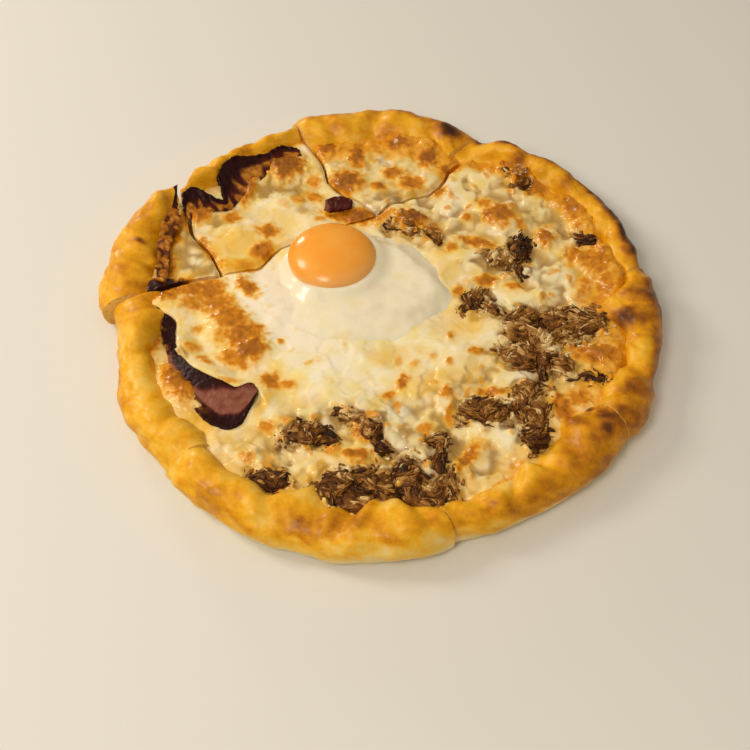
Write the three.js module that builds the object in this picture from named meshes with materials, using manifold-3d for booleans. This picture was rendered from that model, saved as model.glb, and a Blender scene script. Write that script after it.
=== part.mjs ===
// Round meat pide: a flat bread with a hand-folded rim, filled with melted cheese, heaps of
// braised meat, slices of cured beef and one egg. Two cuts each way part it into nine pieces.
// Units are millimetres. +Z is up, +Y points away from the eater, and the pide lies on Z = 0.
import * as THREE from "three";
import { mergeVertices } from "three/addons/utils/BufferGeometryUtils.js";
import Module from "manifold-3d";

// The bread.
const PIDE_RADIUS = 126;
const RIM_WIDTH = 21;
const RIM_HEIGHT = 19;
const FLOOR_THICKNESS = 5;
const RIM_RIPPLE = 1.6;
const CREST_RIPPLE = 1.3;
const BREAD_SIDES = 72;

// The cuts: where they cross, where each runs from its crossing to the rim, how far it opens
// there, in degrees round the pide, and how much of the full squeeze it leaves in the rim.
const KERF = 1;
const CUT_REACH = 7;
const CUT_PULLS_IN = 3.5;
const CUT_OPENS = 6;
const CUT_PRESSES_DOWN = 4.5;
const MEET_REACH = 16;
const PRISM_OVERSHOOT = 2.5;
const PRISM_DEPTH = 10;
const PRISM_HEIGHT = 70;
const CROSSING = { west: [-72, 19], south: [-16, -47], east: [58, -13], north: [-6, 60] };
const RIM_CUT = {
  east: { from: "east", degrees: 12.5, gap: 0.2, squeeze: 0.8 },
  northeast: { from: "north", degrees: 66, gap: 0.2, squeeze: 0.5 },
  north: { from: "north", degrees: 111.5, gap: 0.2, squeeze: 0.6 },
  northwest: { from: "west", degrees: 143.5, gap: 0.4, squeeze: 1 },
  west: { from: "west", degrees: 184.5, gap: 0.5, squeeze: 1 },
  southwest: { from: "south", degrees: 227, gap: 0.1, squeeze: 0.3 },
  south: { from: "south", degrees: 285.5, gap: 0.1, squeeze: 0.5 },
  southeast: { from: "east", degrees: 327, gap: 0.1, squeeze: 0.3 },
};

// The nine pieces. A rim piece lies between two cuts, with a rim of its own width that stands out
// by its outset.
const PIECES = [
  { name: "center", between: null, outset: 0, rim: RIM_WIDTH },
  { name: "west", between: ["northwest", "west"], outset: 2, rim: 20 },
  { name: "northwest", between: ["north", "northwest"], outset: -4, rim: 12 },
  { name: "north", between: ["northeast", "north"], outset: 2.5, rim: 26 },
  { name: "northeast", between: ["east", "northeast"], outset: -1, rim: 18.5 },
  { name: "east", between: ["southeast", "east"], outset: 0.5, rim: 23 },
  { name: "southeast", between: ["south", "southeast"], outset: 0, rim: 22 },
  { name: "south", between: ["southwest", "south"], outset: 4, rim: 25 },
  { name: "southwest", between: ["west", "southwest"], outset: -2.5, rim: 24 },
];

// Places where the outline swells out or is drawn in: place and reach in degrees round the pide, and
// how far out.
const SWELLS = [
  { degrees: 27, reach: 9, out: 2.6 },
  { degrees: 55, reach: 9, out: -1 },
  { degrees: 72, reach: 7, out: -2 },
  { degrees: 98, reach: 13, out: 1.8 },
  { degrees: 142, reach: 5, out: 2.5 },
  { degrees: 194, reach: 10, out: -5.5 },
  { degrees: 212, reach: 7, out: 2 },
  { degrees: 241, reach: 6, out: -1.5 },
  { degrees: 260, reach: 11, out: 1.8 },
  { degrees: 287, reach: 9, out: -3.2 },
  { degrees: 337, reach: 12, out: 2.6 },
];

// Humps where the folded dough leans in over the filling, or leans back from it: place and reach in
// degrees round the pide, and how far they lean.
const HUMPS = [
  { degrees: 257, reach: 5, lean: 7.5 },
  { degrees: 268, reach: 7, lean: 5 },
  { degrees: 304, reach: 4, lean: 3.5 },
  { degrees: 321, reach: 6, lean: 8 },
  { degrees: 333, reach: 4, lean: 4 },
  { degrees: 347, reach: 4, lean: -6 },
  { degrees: 1, reach: 6, lean: 8 },
  { degrees: 27, reach: 6, lean: -4 },
  { degrees: 69, reach: 6, lean: 12 },
  { degrees: 88, reach: 4, lean: -2.5 },
  { degrees: 136, reach: 4, lean: 6 },
  { degrees: 171, reach: 7.5, lean: 11 },
  { degrees: 186, reach: 6, lean: 9 },
  { degrees: 217, reach: 5, lean: -2.5 },
  { degrees: 226, reach: 5, lean: 5 },
];

// The filling. Neighbours that touch keep this small gap.
const CLEARANCE = 0.35;
const CHEESE_TOP = 12.5;
const CHEESE_RADIUS = 117;
const CHEESE_SKIRT = 2;
const CHEESE_DETAIL = 12;
const CHEESE_LUMP = 0.9;

// Mounds where the cheese blistered up and browned: place, reach and height.
const CHEESE_MOUNDS = [
  { x: -88, y: 3, reach: 13, high: 2 },
  { x: -68, y: -12, reach: 13, high: 2.8 },
  { x: -55, y: -29, reach: 10, high: 2.4 },
  { x: -66, y: 36, reach: 11, high: 2 },
  { x: -50, y: 84, reach: 10, high: 2.4 },
  { x: -16, y: 80, reach: 9, high: 2.4 },
  { x: 15, y: 103, reach: 12, high: 2 },
  { x: 58, y: 61, reach: 9, high: 2.6 },
  { x: 99, y: 28, reach: 12, high: 2 },
  { x: 98, y: -24, reach: 10, high: 2.4 },
  { x: 30, y: -48, reach: 10, high: 1.6 },
];

// The egg, on the middle piece.
const YOLK = { x: -22, y: 23.5, z: 17.5, radius: 20.3, rise: 9.2, sink: 2.5 };
const WHITE = { x: -9, y: 7, radius: 42, rise: 4, edge: 1, sink: 6 };
const WHITE_DETAIL = 6;

// Heaps of braised meat: place, length, width, height over the cheese, and turn.
const MEAT_HEAPS = [
  { name: "meat_south_rim", piece: "south", x: -1, y: -98, long: 46, wide: 24, high: 7.5, turn: -3 },
  { name: "meat_south_middle", piece: "south", x: -29, y: -75, long: 25, wide: 16, high: 6, turn: -6 },
  { name: "meat_south_left", piece: "south", x: -42, y: -95, long: 22, wide: 14, high: 5, turn: -12 },
  { name: "meat_south_cut", piece: "south", x: -5, y: -69, long: 28, wide: 13, high: 6, turn: -57 },
  { name: "meat_southeast_rim", piece: "southeast", x: 28, y: -92, long: 36, wide: 15, high: 6.5, turn: -74 },
  { name: "meat_southeast_inner", piece: "southeast", x: 43, y: -59, long: 24, wide: 18, high: 6, turn: -8 },
  { name: "meat_southeast_outer", piece: "southeast", x: 67, y: -65, long: 42, wide: 21, high: 8, turn: -78 },
  { name: "meat_east_main", piece: "east", x: 78, y: -18, long: 50, wide: 38, high: 8, turn: 12 },
  { name: "meat_east_small", piece: "east", x: 93.5, y: -41, long: 13, wide: 8, high: 4.5, turn: 0 },
  { name: "meat_northeast_inner", piece: "northeast", x: 48, y: 4, long: 23, wide: 13, high: 5.5, turn: -30 },
  { name: "meat_northeast_middle", piece: "northeast", x: 60, y: 33, long: 28, wide: 18, high: 6, turn: 35 },
  { name: "meat_northeast_rim", piece: "northeast", x: 95, y: 42, long: 13, wide: 11, high: 6, turn: 0 },
  { name: "meat_northeast_far", piece: "northeast", x: 64, y: 84, long: 27, wide: 16, high: 6.5, turn: -65 },
  { name: "meat_northeast_tip", piece: "northeast", x: 15, y: 48, long: 28, wide: 15, high: 5.5, turn: -38 },
];
const HEAP_CORE_SHARE = 1.04;
const HEAP_SINK = 2.5;
const SHRED = { long: 5.5, wide: 3.2, high: 2.6 };
const SHRED_AREA = 88;
const SHRED_SEED = 7;

// Slices of cured beef: a path in plan, a width, and how high each long edge curls up.
const BEEF_SLICES = [
  { name: "beef_southwest", piece: "southwest", from: [-100, -9], via: [-92, -69], to: [-51, -53],
    wide: 17, leftCurl: 4, rightCurl: 1 },
  { name: "beef_northwest", piece: "northwest", from: [-90, 57], via: [-71, 85], to: [-39, 93],
    wide: 12, leftCurl: 6, rightCurl: 0.5 },
  { name: "beef_west", piece: "west", from: [-96, 65], via: [-100, 36], to: [-98, 4],
    wide: 7, leftCurl: 0.5, rightCurl: 4 },
  { name: "beef_northwest_tip", piece: "northwest", from: [-28, 58], via: [-20, 61], to: [-12, 65],
    wide: 9, leftCurl: 1, rightCurl: 1 },
];
const BEEF_THICKNESS = 1.6;
const BEEF_STEPS = 10;
const BEEF_STRIPS = 4;
const BEEF_WAVE = 0.8;

const COLOUR = {
  bread: 0xe2a03a,
  cheese: 0xf0e2b4,
  white: 0xf4ecd6,
  yolk: 0xf59a2c,
  meat: 0x6b4c30,
  beef: 0x4a1f22,
};
const ROUGHNESS = { bread: 0.5, cheese: 0.4, white: 0.3, yolk: 0.2, meat: 0.6, beef: 0.45 };

const wasm = await Module();
wasm.setup();

// Repeatable random numbers from 0 to 1.
function seededRandom(seed) {
  let state = seed;
  return () => {
    state = (state * 1664525 + 1013904223) % 4294967296;
    return state / 4294967296;
  };
}

const radians = THREE.MathUtils.degToRad;
const bump = (distance, reach) => Math.exp(-((distance / reach) ** 2));

function solidFrom(geometry) {
  const loose = geometry.index ? geometry.toNonIndexed() : geometry;
  const bare = new THREE.BufferGeometry().setAttribute("position", loose.getAttribute("position"));
  const merged = mergeVertices(bare, 1e-3);
  const triangles = [];
  for (let i = 0; i < merged.index.count; i += 3) {
    const [a, b, c] = merged.index.array.slice(i, i + 3);
    if (a !== b && b !== c && c !== a) triangles.push(a, b, c);
  }
  return new wasm.Manifold(
    new wasm.Mesh({
      numProp: 3,
      vertProperties: merged.getAttribute("position").array,
      triVerts: new Uint32Array(triangles),
    }),
  );
}

function geometryFrom(solid) {
  const mesh = solid.getMesh();
  const geometry = new THREE.BufferGeometry();
  geometry.setAttribute("position", new THREE.BufferAttribute(mesh.vertProperties, 3));
  geometry.setIndex(new THREE.BufferAttribute(mesh.triVerts, 1));
  geometry.computeVertexNormals();
  return geometry;
}

// A cut can leave crumbs beside the piece: only the largest body stays.
function largestBody(solid) {
  return solid.decompose().reduce((best, body) => (body.volume() > best.volume() ? body : best));
}

// Moves every vertex of a geometry to the point that place(point) gives.
function reshape(geometry, place) {
  const position = geometry.getAttribute("position");
  const point = new THREE.Vector3();
  for (let i = 0; i < position.count; i++) {
    point.fromBufferAttribute(position, i);
    place(point);
    position.setXYZ(i, point.x, point.y, point.z);
  }
  return geometry;
}

// A profile of [radius, height] pairs turned about +Z.
function turned(profile, sides) {
  const points = profile.map(([radius, height]) => new THREE.Vector2(radius, height));
  return new THREE.LatheGeometry(points, sides).rotateX(Math.PI / 2);
}

// How far round the pide, in degrees, an angle lies from a place on the rim.
function degreesFrom(angle, degrees) {
  const away = angle - radians(degrees);
  return THREE.MathUtils.radToDeg(Math.abs(Math.atan2(Math.sin(away), Math.cos(away))));
}

// Distance along the rim from a place on it.
function alongRim(angle, degrees) {
  return PIDE_RADIUS * radians(degreesFrom(angle, degrees));
}

// How strongly the cuts squeeze the rim, from 0 to 1.
function squeezeAt(angle) {
  const cuts = Object.values(RIM_CUT);
  return Math.max(...cuts.map((cut) => cut.squeeze * bump(alongRim(angle, cut.degrees), CUT_REACH)));
}

// A piece's outset. Beside a cut that closed again it leads over into the next piece's.
function outsetAt(angle, piece) {
  let outset = piece.outset;
  for (const name of piece.between ?? []) {
    const beside = PIECES.filter((other) => other.between?.includes(name));
    const meet = beside.reduce((sum, other) => sum + other.outset, 0) / beside.length;
    const cut = RIM_CUT[name];
    const closed = (1 - cut.squeeze) * bump(alongRim(angle, cut.degrees), MEET_REACH);
    outset += closed * (meet - piece.outset);
  }
  return outset;
}

// Adds up what a list of places round the rim gives at an angle.
function sumAt(angle, places, key) {
  const shares = places.map((place) => place[key] * bump(degreesFrom(angle, place.degrees), place.reach));
  return shares.reduce((sum, share) => sum + share, 0);
}

function outlineRadius(angle, piece) {
  const ripple = Math.sin(9 * angle + 1) + 0.6 * Math.sin(16 * angle + 2.4);
  const swell = sumAt(angle, SWELLS, "out") + 0.6 * RIM_RIPPLE * ripple;
  return PIDE_RADIUS + outsetAt(angle, piece) + swell - CUT_PULLS_IN * squeezeAt(angle);
}

function innerRadius(angle, piece) {
  const folds = Math.sin(11 * angle + 0.5) + 0.7 * Math.sin(19 * angle + 1.7);
  const edge = PIDE_RADIUS + outsetAt(angle, piece) - piece.rim + CUT_OPENS * squeezeAt(angle);
  return edge + 0.6 * RIM_RIPPLE * folds - sumAt(angle, HUMPS, "lean");
}

function crestHeight(angle) {
  const ripple = Math.sin(8 * angle + 0.4) + 0.7 * Math.sin(13 * angle + 2);
  return RIM_HEIGHT + CREST_RIPPLE * ripple - CUT_PRESSES_DOWN * squeezeAt(angle);
}

// The whole bread with one piece's rim. The profile runs from the middle of the underside, round
// the outer bulge and over the crest, down to the floor.
function breadGeometry(piece) {
  const inner = PIDE_RADIUS - RIM_WIDTH;
  const across = (share, height) => [inner + share * RIM_WIDTH, height];
  const above = (share) => FLOOR_THICKNESS + share * (RIM_HEIGHT - FLOOR_THICKNESS);
  const profile = [
    [0, 0],
    [inner * 0.55, 0],
    [inner, 0],
    across(0.66, 0),
    across(0.88, 1.2),
    across(0.98, above(0.05)),
    across(1, above(0.3)),
    across(0.96, above(0.58)),
    across(0.85, above(0.84)),
    across(0.68, above(0.98)),
    across(0.5, above(0.98)),
    across(0.32, above(0.8)),
    across(0.16, above(0.46)),
    across(0, above(0.1)),
    [inner * 0.92, FLOOR_THICKNESS],
    [inner * 0.5, FLOOR_THICKNESS],
    [0, FLOOR_THICKNESS],
  ];
  return reshape(turned(profile, BREAD_SIDES), (point) => {
    const angle = Math.atan2(point.y, point.x);
    const nominal = Math.hypot(point.x, point.y);
    const share = (nominal - inner) / RIM_WIDTH;
    const innerHere = innerRadius(angle, piece);
    const radius =
      share > 0
        ? innerHere + share * (outlineRadius(angle, piece) - innerHere)
        : (nominal / inner) * innerHere;
    const lift = (crestHeight(angle) - FLOOR_THICKNESS) / (RIM_HEIGHT - FLOOR_THICKNESS);
    if (point.z > FLOOR_THICKNESS) point.z = FLOOR_THICKNESS + (point.z - FLOOR_THICKNESS) * lift;
    point.x = radius * Math.cos(angle);
    point.y = radius * Math.sin(angle);
  });
}

function cheeseHeight(x, y) {
  const lumps =
    Math.sin(x / 8.5 + 1) * Math.cos(y / 10 + 0.4) + 0.6 * Math.sin((x + 1.4 * y) / 7 + 2);
  const mounds = CHEESE_MOUNDS.map(
    (mound) => mound.high * bump(Math.hypot(x - mound.x, y - mound.y), mound.reach),
  );
  return CHEESE_TOP + CHEESE_LUMP * lumps + Math.max(...mounds);
}

// A flat round cushion of even facets: height(share) gives its top from the middle to the edge.
function cushion(detail, radius, height, underside) {
  return reshape(new THREE.OctahedronGeometry(1, detail), (point) => {
    const angle = Math.atan2(point.y, point.x);
    const share = Math.sqrt(Math.max(0, 1 - Math.abs(point.z)));
    const above = point.z > -1e-6;
    point.x = share * radius(angle) * Math.cos(angle);
    point.y = share * radius(angle) * Math.sin(angle);
    point.z = above ? height(share) : underside;
  });
}

// One lumpy pancake of melted cheese, wider than the floor, so that it runs up the folded rim.
function cheeseGeometry() {
  const pancake = cushion(CHEESE_DETAIL, () => CHEESE_RADIUS, () => CHEESE_TOP, CHEESE_SKIRT);
  return reshape(pancake, (point) => {
    if (point.z > CHEESE_SKIRT) point.z = cheeseHeight(point.x, point.y);
  });
}

// Where a cut leaves the bread, well past the rim, turned by its gap into the piece beside it.
function cutEnd(name, gapSign) {
  const cut = RIM_CUT[name];
  const angle = radians(cut.degrees + gapSign * cut.gap);
  const start = new THREE.Vector2(...CROSSING[cut.from]);
  const rim = new THREE.Vector2(PIDE_RADIUS * Math.cos(angle), PIDE_RADIUS * Math.sin(angle));
  return start.lerp(rim, PRISM_OVERSHOOT);
}

// The corners of a piece in plan, counter-clockwise.
function pieceCorners(piece) {
  if (!piece.between) return Object.values(CROSSING).map((at) => new THREE.Vector2(...at));
  const [first, last] = piece.between;
  const tips = new Set([RIM_CUT[last].from, RIM_CUT[first].from]);
  const corners = [...tips].map((name) => new THREE.Vector2(...CROSSING[name]));
  return [...corners, cutEnd(first, 1), cutEnd(last, -1)];
}

// The upright prism that the cuts leave for one piece, half a kerf inside its corners.
function piecePrism(piece) {
  const corners = pieceCorners(piece);
  const edges = corners.map((corner, index) => {
    const along = corners[(index + 1) % corners.length].clone().sub(corner).normalize();
    const inward = new THREE.Vector2(-along.y, along.x);
    return { along, start: corner.clone().addScaledVector(inward, KERF / 2) };
  });
  const inset = edges.map((edge, index) => {
    const before = edges[(index + edges.length - 1) % edges.length];
    const apart = edge.start.clone().sub(before.start);
    const reach = apart.cross(edge.along) / before.along.cross(edge.along);
    return before.start.clone().addScaledVector(before.along, reach);
  });
  const depth = PRISM_DEPTH + PRISM_HEIGHT;
  const prism = new THREE.ExtrudeGeometry(new THREE.Shape(inset), { depth, bevelEnabled: false });
  return solidFrom(prism.translate(0, 0, -PRISM_DEPTH));
}

// A unit ball whose upper half rises and whose lower half sinks by the heights given.
function dome(sides, rings, rise, sink) {
  const ball = new THREE.SphereGeometry(1, sides, rings).rotateX(Math.PI / 2);
  return reshape(ball, (point) => {
    point.z *= point.z > 0 ? rise : sink;
  });
}

// A chunk of food from a unit shape, sized, turned and put in place.
function chunk(geometry, size, turn, tilt, place) {
  return geometry.scale(...size).rotateY(tilt).rotateZ(turn).translate(...place);
}

// A heap of meat: a low core with shreds lying over it, pressed onto what it rests on.
function meatHeap(heap, random) {
  const turn = radians(heap.turn);
  const base = cheeseHeight(heap.x, heap.y);
  const coreSize = [0.5 * HEAP_CORE_SHARE * heap.long, 0.5 * HEAP_CORE_SHARE * heap.wide, 1];
  const core = dome(10, 6, heap.high - 0.5 * SHRED.high, HEAP_SINK);
  let solid = solidFrom(chunk(core, coreSize, turn, 0, [heap.x, heap.y, base]));
  const shreds = Math.max(4, Math.round((heap.long * heap.wide) / SHRED_AREA));
  for (let i = 0; i < shreds; i++) {
    const ring = 0.86 * Math.sqrt((i + 0.5) / shreds);
    const round = i * Math.PI * (3 - Math.sqrt(5)) + 0.5 * random();
    const along = 0.5 * heap.long * ring * Math.cos(round);
    const aside = 0.5 * heap.wide * ring * Math.sin(round);
    const size = [SHRED.long, SHRED.wide, SHRED.high].map((s) => s * (0.7 + 0.5 * random()));
    const height = base + (heap.high - 0.6 * SHRED.high) * Math.sqrt(1 - ring * ring);
    const place = [
      heap.x + along * Math.cos(turn) - aside * Math.sin(turn),
      heap.y + along * Math.sin(turn) + aside * Math.cos(turn),
      height - 0.5 * SHRED.high,
    ];
    const shredTurn = turn + Math.PI * (random() - 0.5);
    const shred = chunk(new THREE.IcosahedronGeometry(1, 0), size, shredTurn, 0.5 * (random() - 0.5), place);
    solid = solid.add(solidFrom(shred));
  }
  return solid;
}

// A thin wavy slice that follows its path. Its long edges curl up off the cheese.
function beefSlice(slice) {
  const at = (point) => new THREE.Vector2(...point);
  const path = new THREE.QuadraticBezierCurve(at(slice.from), at(slice.via), at(slice.to));
  const box = new THREE.BoxGeometry(1, 1, 1, BEEF_STEPS, BEEF_STRIPS, 1);
  return reshape(box, (point) => {
    const share = point.x + 0.5;
    const middle = path.getPoint(share);
    const along = path.getTangent(share);
    const ends = 0.55 + 0.45 * Math.sqrt(Math.max(0, 1 - (2 * share - 1) ** 4));
    const side = point.y * slice.wide * ends;
    const curl =
      slice.leftCurl * Math.max(0, 2 * point.y) ** 2 + slice.rightCurl * Math.max(0, -2 * point.y) ** 2;
    const wave = BEEF_WAVE * (1 + Math.sin(9 * share + 3 * point.y));
    const up = point.z > 0 ? BEEF_THICKNESS : 0;
    point.x = middle.x - along.y * side;
    point.y = middle.y + along.x * side;
    point.z = cheeseHeight(point.x, point.y) + wave + curl + up;
  });
}

// The yolk is a full dome over a shallow underside. The spare makes its seat in the white.
function yolkGeometry(spare) {
  const width = YOLK.radius + spare;
  const ball = dome(22, 10, YOLK.rise + spare, YOLK.sink + spare);
  return chunk(ball, [width, width, 1], 0, 0, [YOLK.x, YOLK.y, YOLK.z]);
}

function whiteRadius(angle) {
  const broad = 4.5 * Math.cos(angle - 1.6) + 1.6 * Math.cos(2 * angle);
  const lobes = 1.8 * Math.cos(3 * angle + 0.4) + Math.cos(5 * angle + 1);
  return WHITE.radius + broad + lobes;
}

function whiteGeometry() {
  const height = (share) => WHITE.edge + WHITE.rise * Math.sqrt(1 - Math.min(1, share) ** 2.5);
  return cushion(WHITE_DETAIL, whiteRadius, height, -WHITE.sink).translate(WHITE.x, WHITE.y, CHEESE_TOP);
}

function finish(kind) {
  return new THREE.MeshStandardMaterial({
    color: COLOUR[kind],
    roughness: ROUGHNESS[kind],
    metalness: 0,
  });
}

function node(name, solid, kind) {
  const mesh = new THREE.Mesh(geometryFrom(largestBody(solid)), finish(kind));
  mesh.name = name;
  return mesh;
}

// One piece as it was cut: its bread, its cheese, and all that lies on them.
function buildPiece(piece, random) {
  const group = new THREE.Group();
  const prism = piecePrism(piece);
  const bread = breadGeometry(piece);
  const cheese = cheeseGeometry();
  const breadBelow = solidFrom(bread.clone().translate(0, 0, CLEARANCE));
  const cheeseBelow = solidFrom(cheese.clone().translate(0, 0, CLEARANCE));
  const support = breadBelow.add(cheeseBelow);
  group.add(node(`bread_${piece.name}`, solidFrom(bread).intersect(prism), "bread"));
  group.add(node(`cheese_${piece.name}`, solidFrom(cheese).subtract(breadBelow).intersect(prism), "cheese"));

  const laid = (solid) => solid.subtract(support).intersect(prism);
  for (const heap of MEAT_HEAPS.filter((entry) => entry.piece === piece.name)) {
    group.add(node(heap.name, laid(meatHeap(heap, random)), "meat"));
  }
  for (const slice of BEEF_SLICES.filter((entry) => entry.piece === piece.name)) {
    group.add(node(slice.name, laid(solidFrom(beefSlice(slice))), "beef"));
  }
  if (piece.name === "center") {
    const seat = solidFrom(yolkGeometry(CLEARANCE));
    group.add(node("egg_white", laid(solidFrom(whiteGeometry())).subtract(seat), "white"));
    group.add(node("egg_yolk", solidFrom(yolkGeometry(0)), "yolk"));
  }
  return group;
}

const pide = new THREE.Group();
const random = seededRandom(SHRED_SEED);
for (const piece of PIECES) {
  pide.add(buildPiece(piece, random));
}

export default pide;
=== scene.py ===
"""The looks of a round meat pide: baked crust, melted cheese, braised meat, cured beef and an egg.

Sizes are in millimetres. A finished mesh is scaled to metres as it becomes an object.
"""
import math

import bmesh
import bpy
import numpy as np
from mathutils import Matrix, Vector


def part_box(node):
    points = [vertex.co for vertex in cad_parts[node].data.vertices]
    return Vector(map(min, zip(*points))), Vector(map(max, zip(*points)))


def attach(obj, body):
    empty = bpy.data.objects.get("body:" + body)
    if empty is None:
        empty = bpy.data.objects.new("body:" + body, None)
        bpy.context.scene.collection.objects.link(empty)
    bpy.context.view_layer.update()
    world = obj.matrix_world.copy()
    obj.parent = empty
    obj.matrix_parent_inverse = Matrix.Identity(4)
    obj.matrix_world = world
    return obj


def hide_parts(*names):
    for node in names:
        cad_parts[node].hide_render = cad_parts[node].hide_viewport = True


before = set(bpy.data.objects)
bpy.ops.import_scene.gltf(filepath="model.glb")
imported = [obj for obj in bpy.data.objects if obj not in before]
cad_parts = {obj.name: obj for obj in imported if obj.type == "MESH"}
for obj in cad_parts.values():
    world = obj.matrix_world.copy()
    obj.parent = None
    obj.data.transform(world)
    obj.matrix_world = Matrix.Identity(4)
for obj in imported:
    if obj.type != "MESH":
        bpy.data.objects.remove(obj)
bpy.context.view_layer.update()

MM = 0.001

# The bread, as in the solids.
PIDE_RADIUS = 126.0
RIM_WIDTH = 21.0
RIM_HEIGHT = 19.0
FLOOR_THICKNESS = 5.0
RIM_RIPPLE = 1.6
CREST_RIPPLE = 1.3
CUT_REACH = 7.0
CUT_PULLS_IN = 3.5
CUT_OPENS = 6.0
CUT_PRESSES_DOWN = 4.5
MEET_REACH = 16.0
CROSSING = {"west": (-72, 19), "south": (-16, -47), "east": (58, -13), "north": (-6, 60)}

# Each cut from its crossing to the rim: the place on the rim and the gap there, in degrees, how much
# it squeezes the rim, and how wide it gapes in the bread and in the cheese.
RIM_CUT = {
    "east": ("east", 12.5, 0.2, 0.8, 0.3, 0.01),
    "northeast": ("north", 66.0, 0.2, 0.5, 0.3, 1.5),
    "north": ("north", 111.5, 0.2, 0.6, 0.5, 1.0),
    "northwest": ("west", 143.5, 0.4, 1.0, 0.8, 1.2),
    "west": ("west", 184.5, 0.5, 1.0, 0.8, 1.6),
    "southwest": ("south", 227.0, 0.1, 0.3, 0.12, 0.01),
    "south": ("south", 285.5, 0.1, 0.5, 0.15, 0.01),
    "southeast": ("east", 327.0, 0.1, 0.3, 0.12, 0.01),
}
MIDDLE_CUT = {"north_west": 1.2, "south_west": 0.01, "east_south": 0.01, "east_north": 0.01}

# The pieces: the two cuts that a rim piece lies between, its outset and the width of its rim.
PIECES = {
    "center": ((), 0.0, RIM_WIDTH),
    "west": (("northwest", "west"), 2.0, 20.0),
    "northwest": (("north", "northwest"), -4.0, 12.0),
    "north": (("northeast", "north"), 2.5, 26.0),
    "northeast": (("east", "northeast"), -1.0, 18.5),
    "east": (("southeast", "east"), 0.5, 23.0),
    "southeast": (("south", "southeast"), 0.0, 22.0),
    "south": (("southwest", "south"), 4.0, 25.0),
    "southwest": (("west", "southwest"), -2.5, 24.0),
}

# A cut whose edges are closer together than this closed again in the oven.
CLOSED_GAP = 0.02

# How far a cut's line runs, in lengths from its crossing to the rim, and the margin that the bread
# keeps beyond its cuts while it gets its form.
CUT_RUNS_OUT = 2.5
ROUGH_MARGIN = 12.0

# The crust: how firmly the cut on the west squeezes it, up to where its flat base reaches, and the
# steps of its mesh round the rim.
WEST_SQUEEZE = 0.35
BASE_REACHES = 0.5
RIM_STEPS = 840

# Places where the outline swells out or is drawn in: degrees, reach in degrees, how far out.
SWELLS = (
    (27, 9, 2.6), (55, 9, -1.0), (72, 7, -2.0), (98, 13, 1.8), (142, 5, 2.5), (194, 10, -5.5),
    (212, 7, 2.0), (241, 6, -1.5), (260, 11, 1.8), (287, 9, -3.2), (337, 12, 2.6), (35, 3.5, 4.0),
    (11, 4, 2.6), (109.5, 3, 3.2), (148, 3.5, 3.0), (92, 6, 1.4), (160, 5, 1.6), (203, 5, -1.6),
    (136, 4, -1.6), (274, 6, 1.2),
)

# Humps where the folded dough leans in over the filling, or back from it: degrees, reach, lean.
HUMPS = (
    (248.5, 4, -4.0), (255.5, 4.5, 8.0), (264.5, 3.5, -1.5), (272.5, 6, 6.0), (304, 4, 3.5),
    (321, 6, 8.0), (333, 4, 4.0), (347, 4, -6.0), (1, 6, 8.0), (27, 6, -4.0), (69, 6, 12.0),
    (88, 4, -2.5), (136, 4, 6.0), (171, 7.5, 11.0), (178, 4, 4.0), (186, 6, 9.0), (217, 5, -2.5),
    (226, 5, 5.0),
)

# Creases pinched across the rim: degrees, reach in degrees, depth, slant in degrees over the rim.
CREASES = (
    (155, 1.6, 1.0, 6), (169, 1.4, 0.8, -5), (199, 1.5, 0.7, 5), (210, 1.3, 0.4, -4), (219, 1.4, 0.5, 4),
    (236, 1.6, 0.5, -6), (249, 1.4, 0.8, 5), (264.5, 1.3, 1.6, -6), (279, 1.4, 1.0, 5),
    (291, 1.3, 0.9, 6), (300, 1.5, 1.3, -7), (309, 1.2, 1.2, 7), (316, 1.4, 1.0, -5), (334, 1.5, 1.2, 6),
    (343, 1.3, 0.9, -5), (353, 1.5, 1.2, 6), (7, 1.4, 0.9, -5), (24, 1.6, 0.9, 5), (38, 1.5, 0.8, -6),
    (52, 1.4, 0.9, 5), (78, 1.6, 1.0, 6), (92, 1.5, 1.1, -5), (104, 1.4, 0.8, 5), (124, 1.6, 0.8, -5),
    (135, 1.3, 0.7, 5),
)

# Places where the cuts run aside of a straight line through the filling: place, shift, reach.
BENDS = (
    (-6, 60, 5, -2, 15), (-17, 77, -8, -2, 13), (18, 83, 8, -8, 16), (38, 104, 4, -5, 12),
    (-60, 26, 3, -6, 10), (-84, 42, -4, -1, 14), (-72, 19, -1, -3, 9),
)

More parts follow.
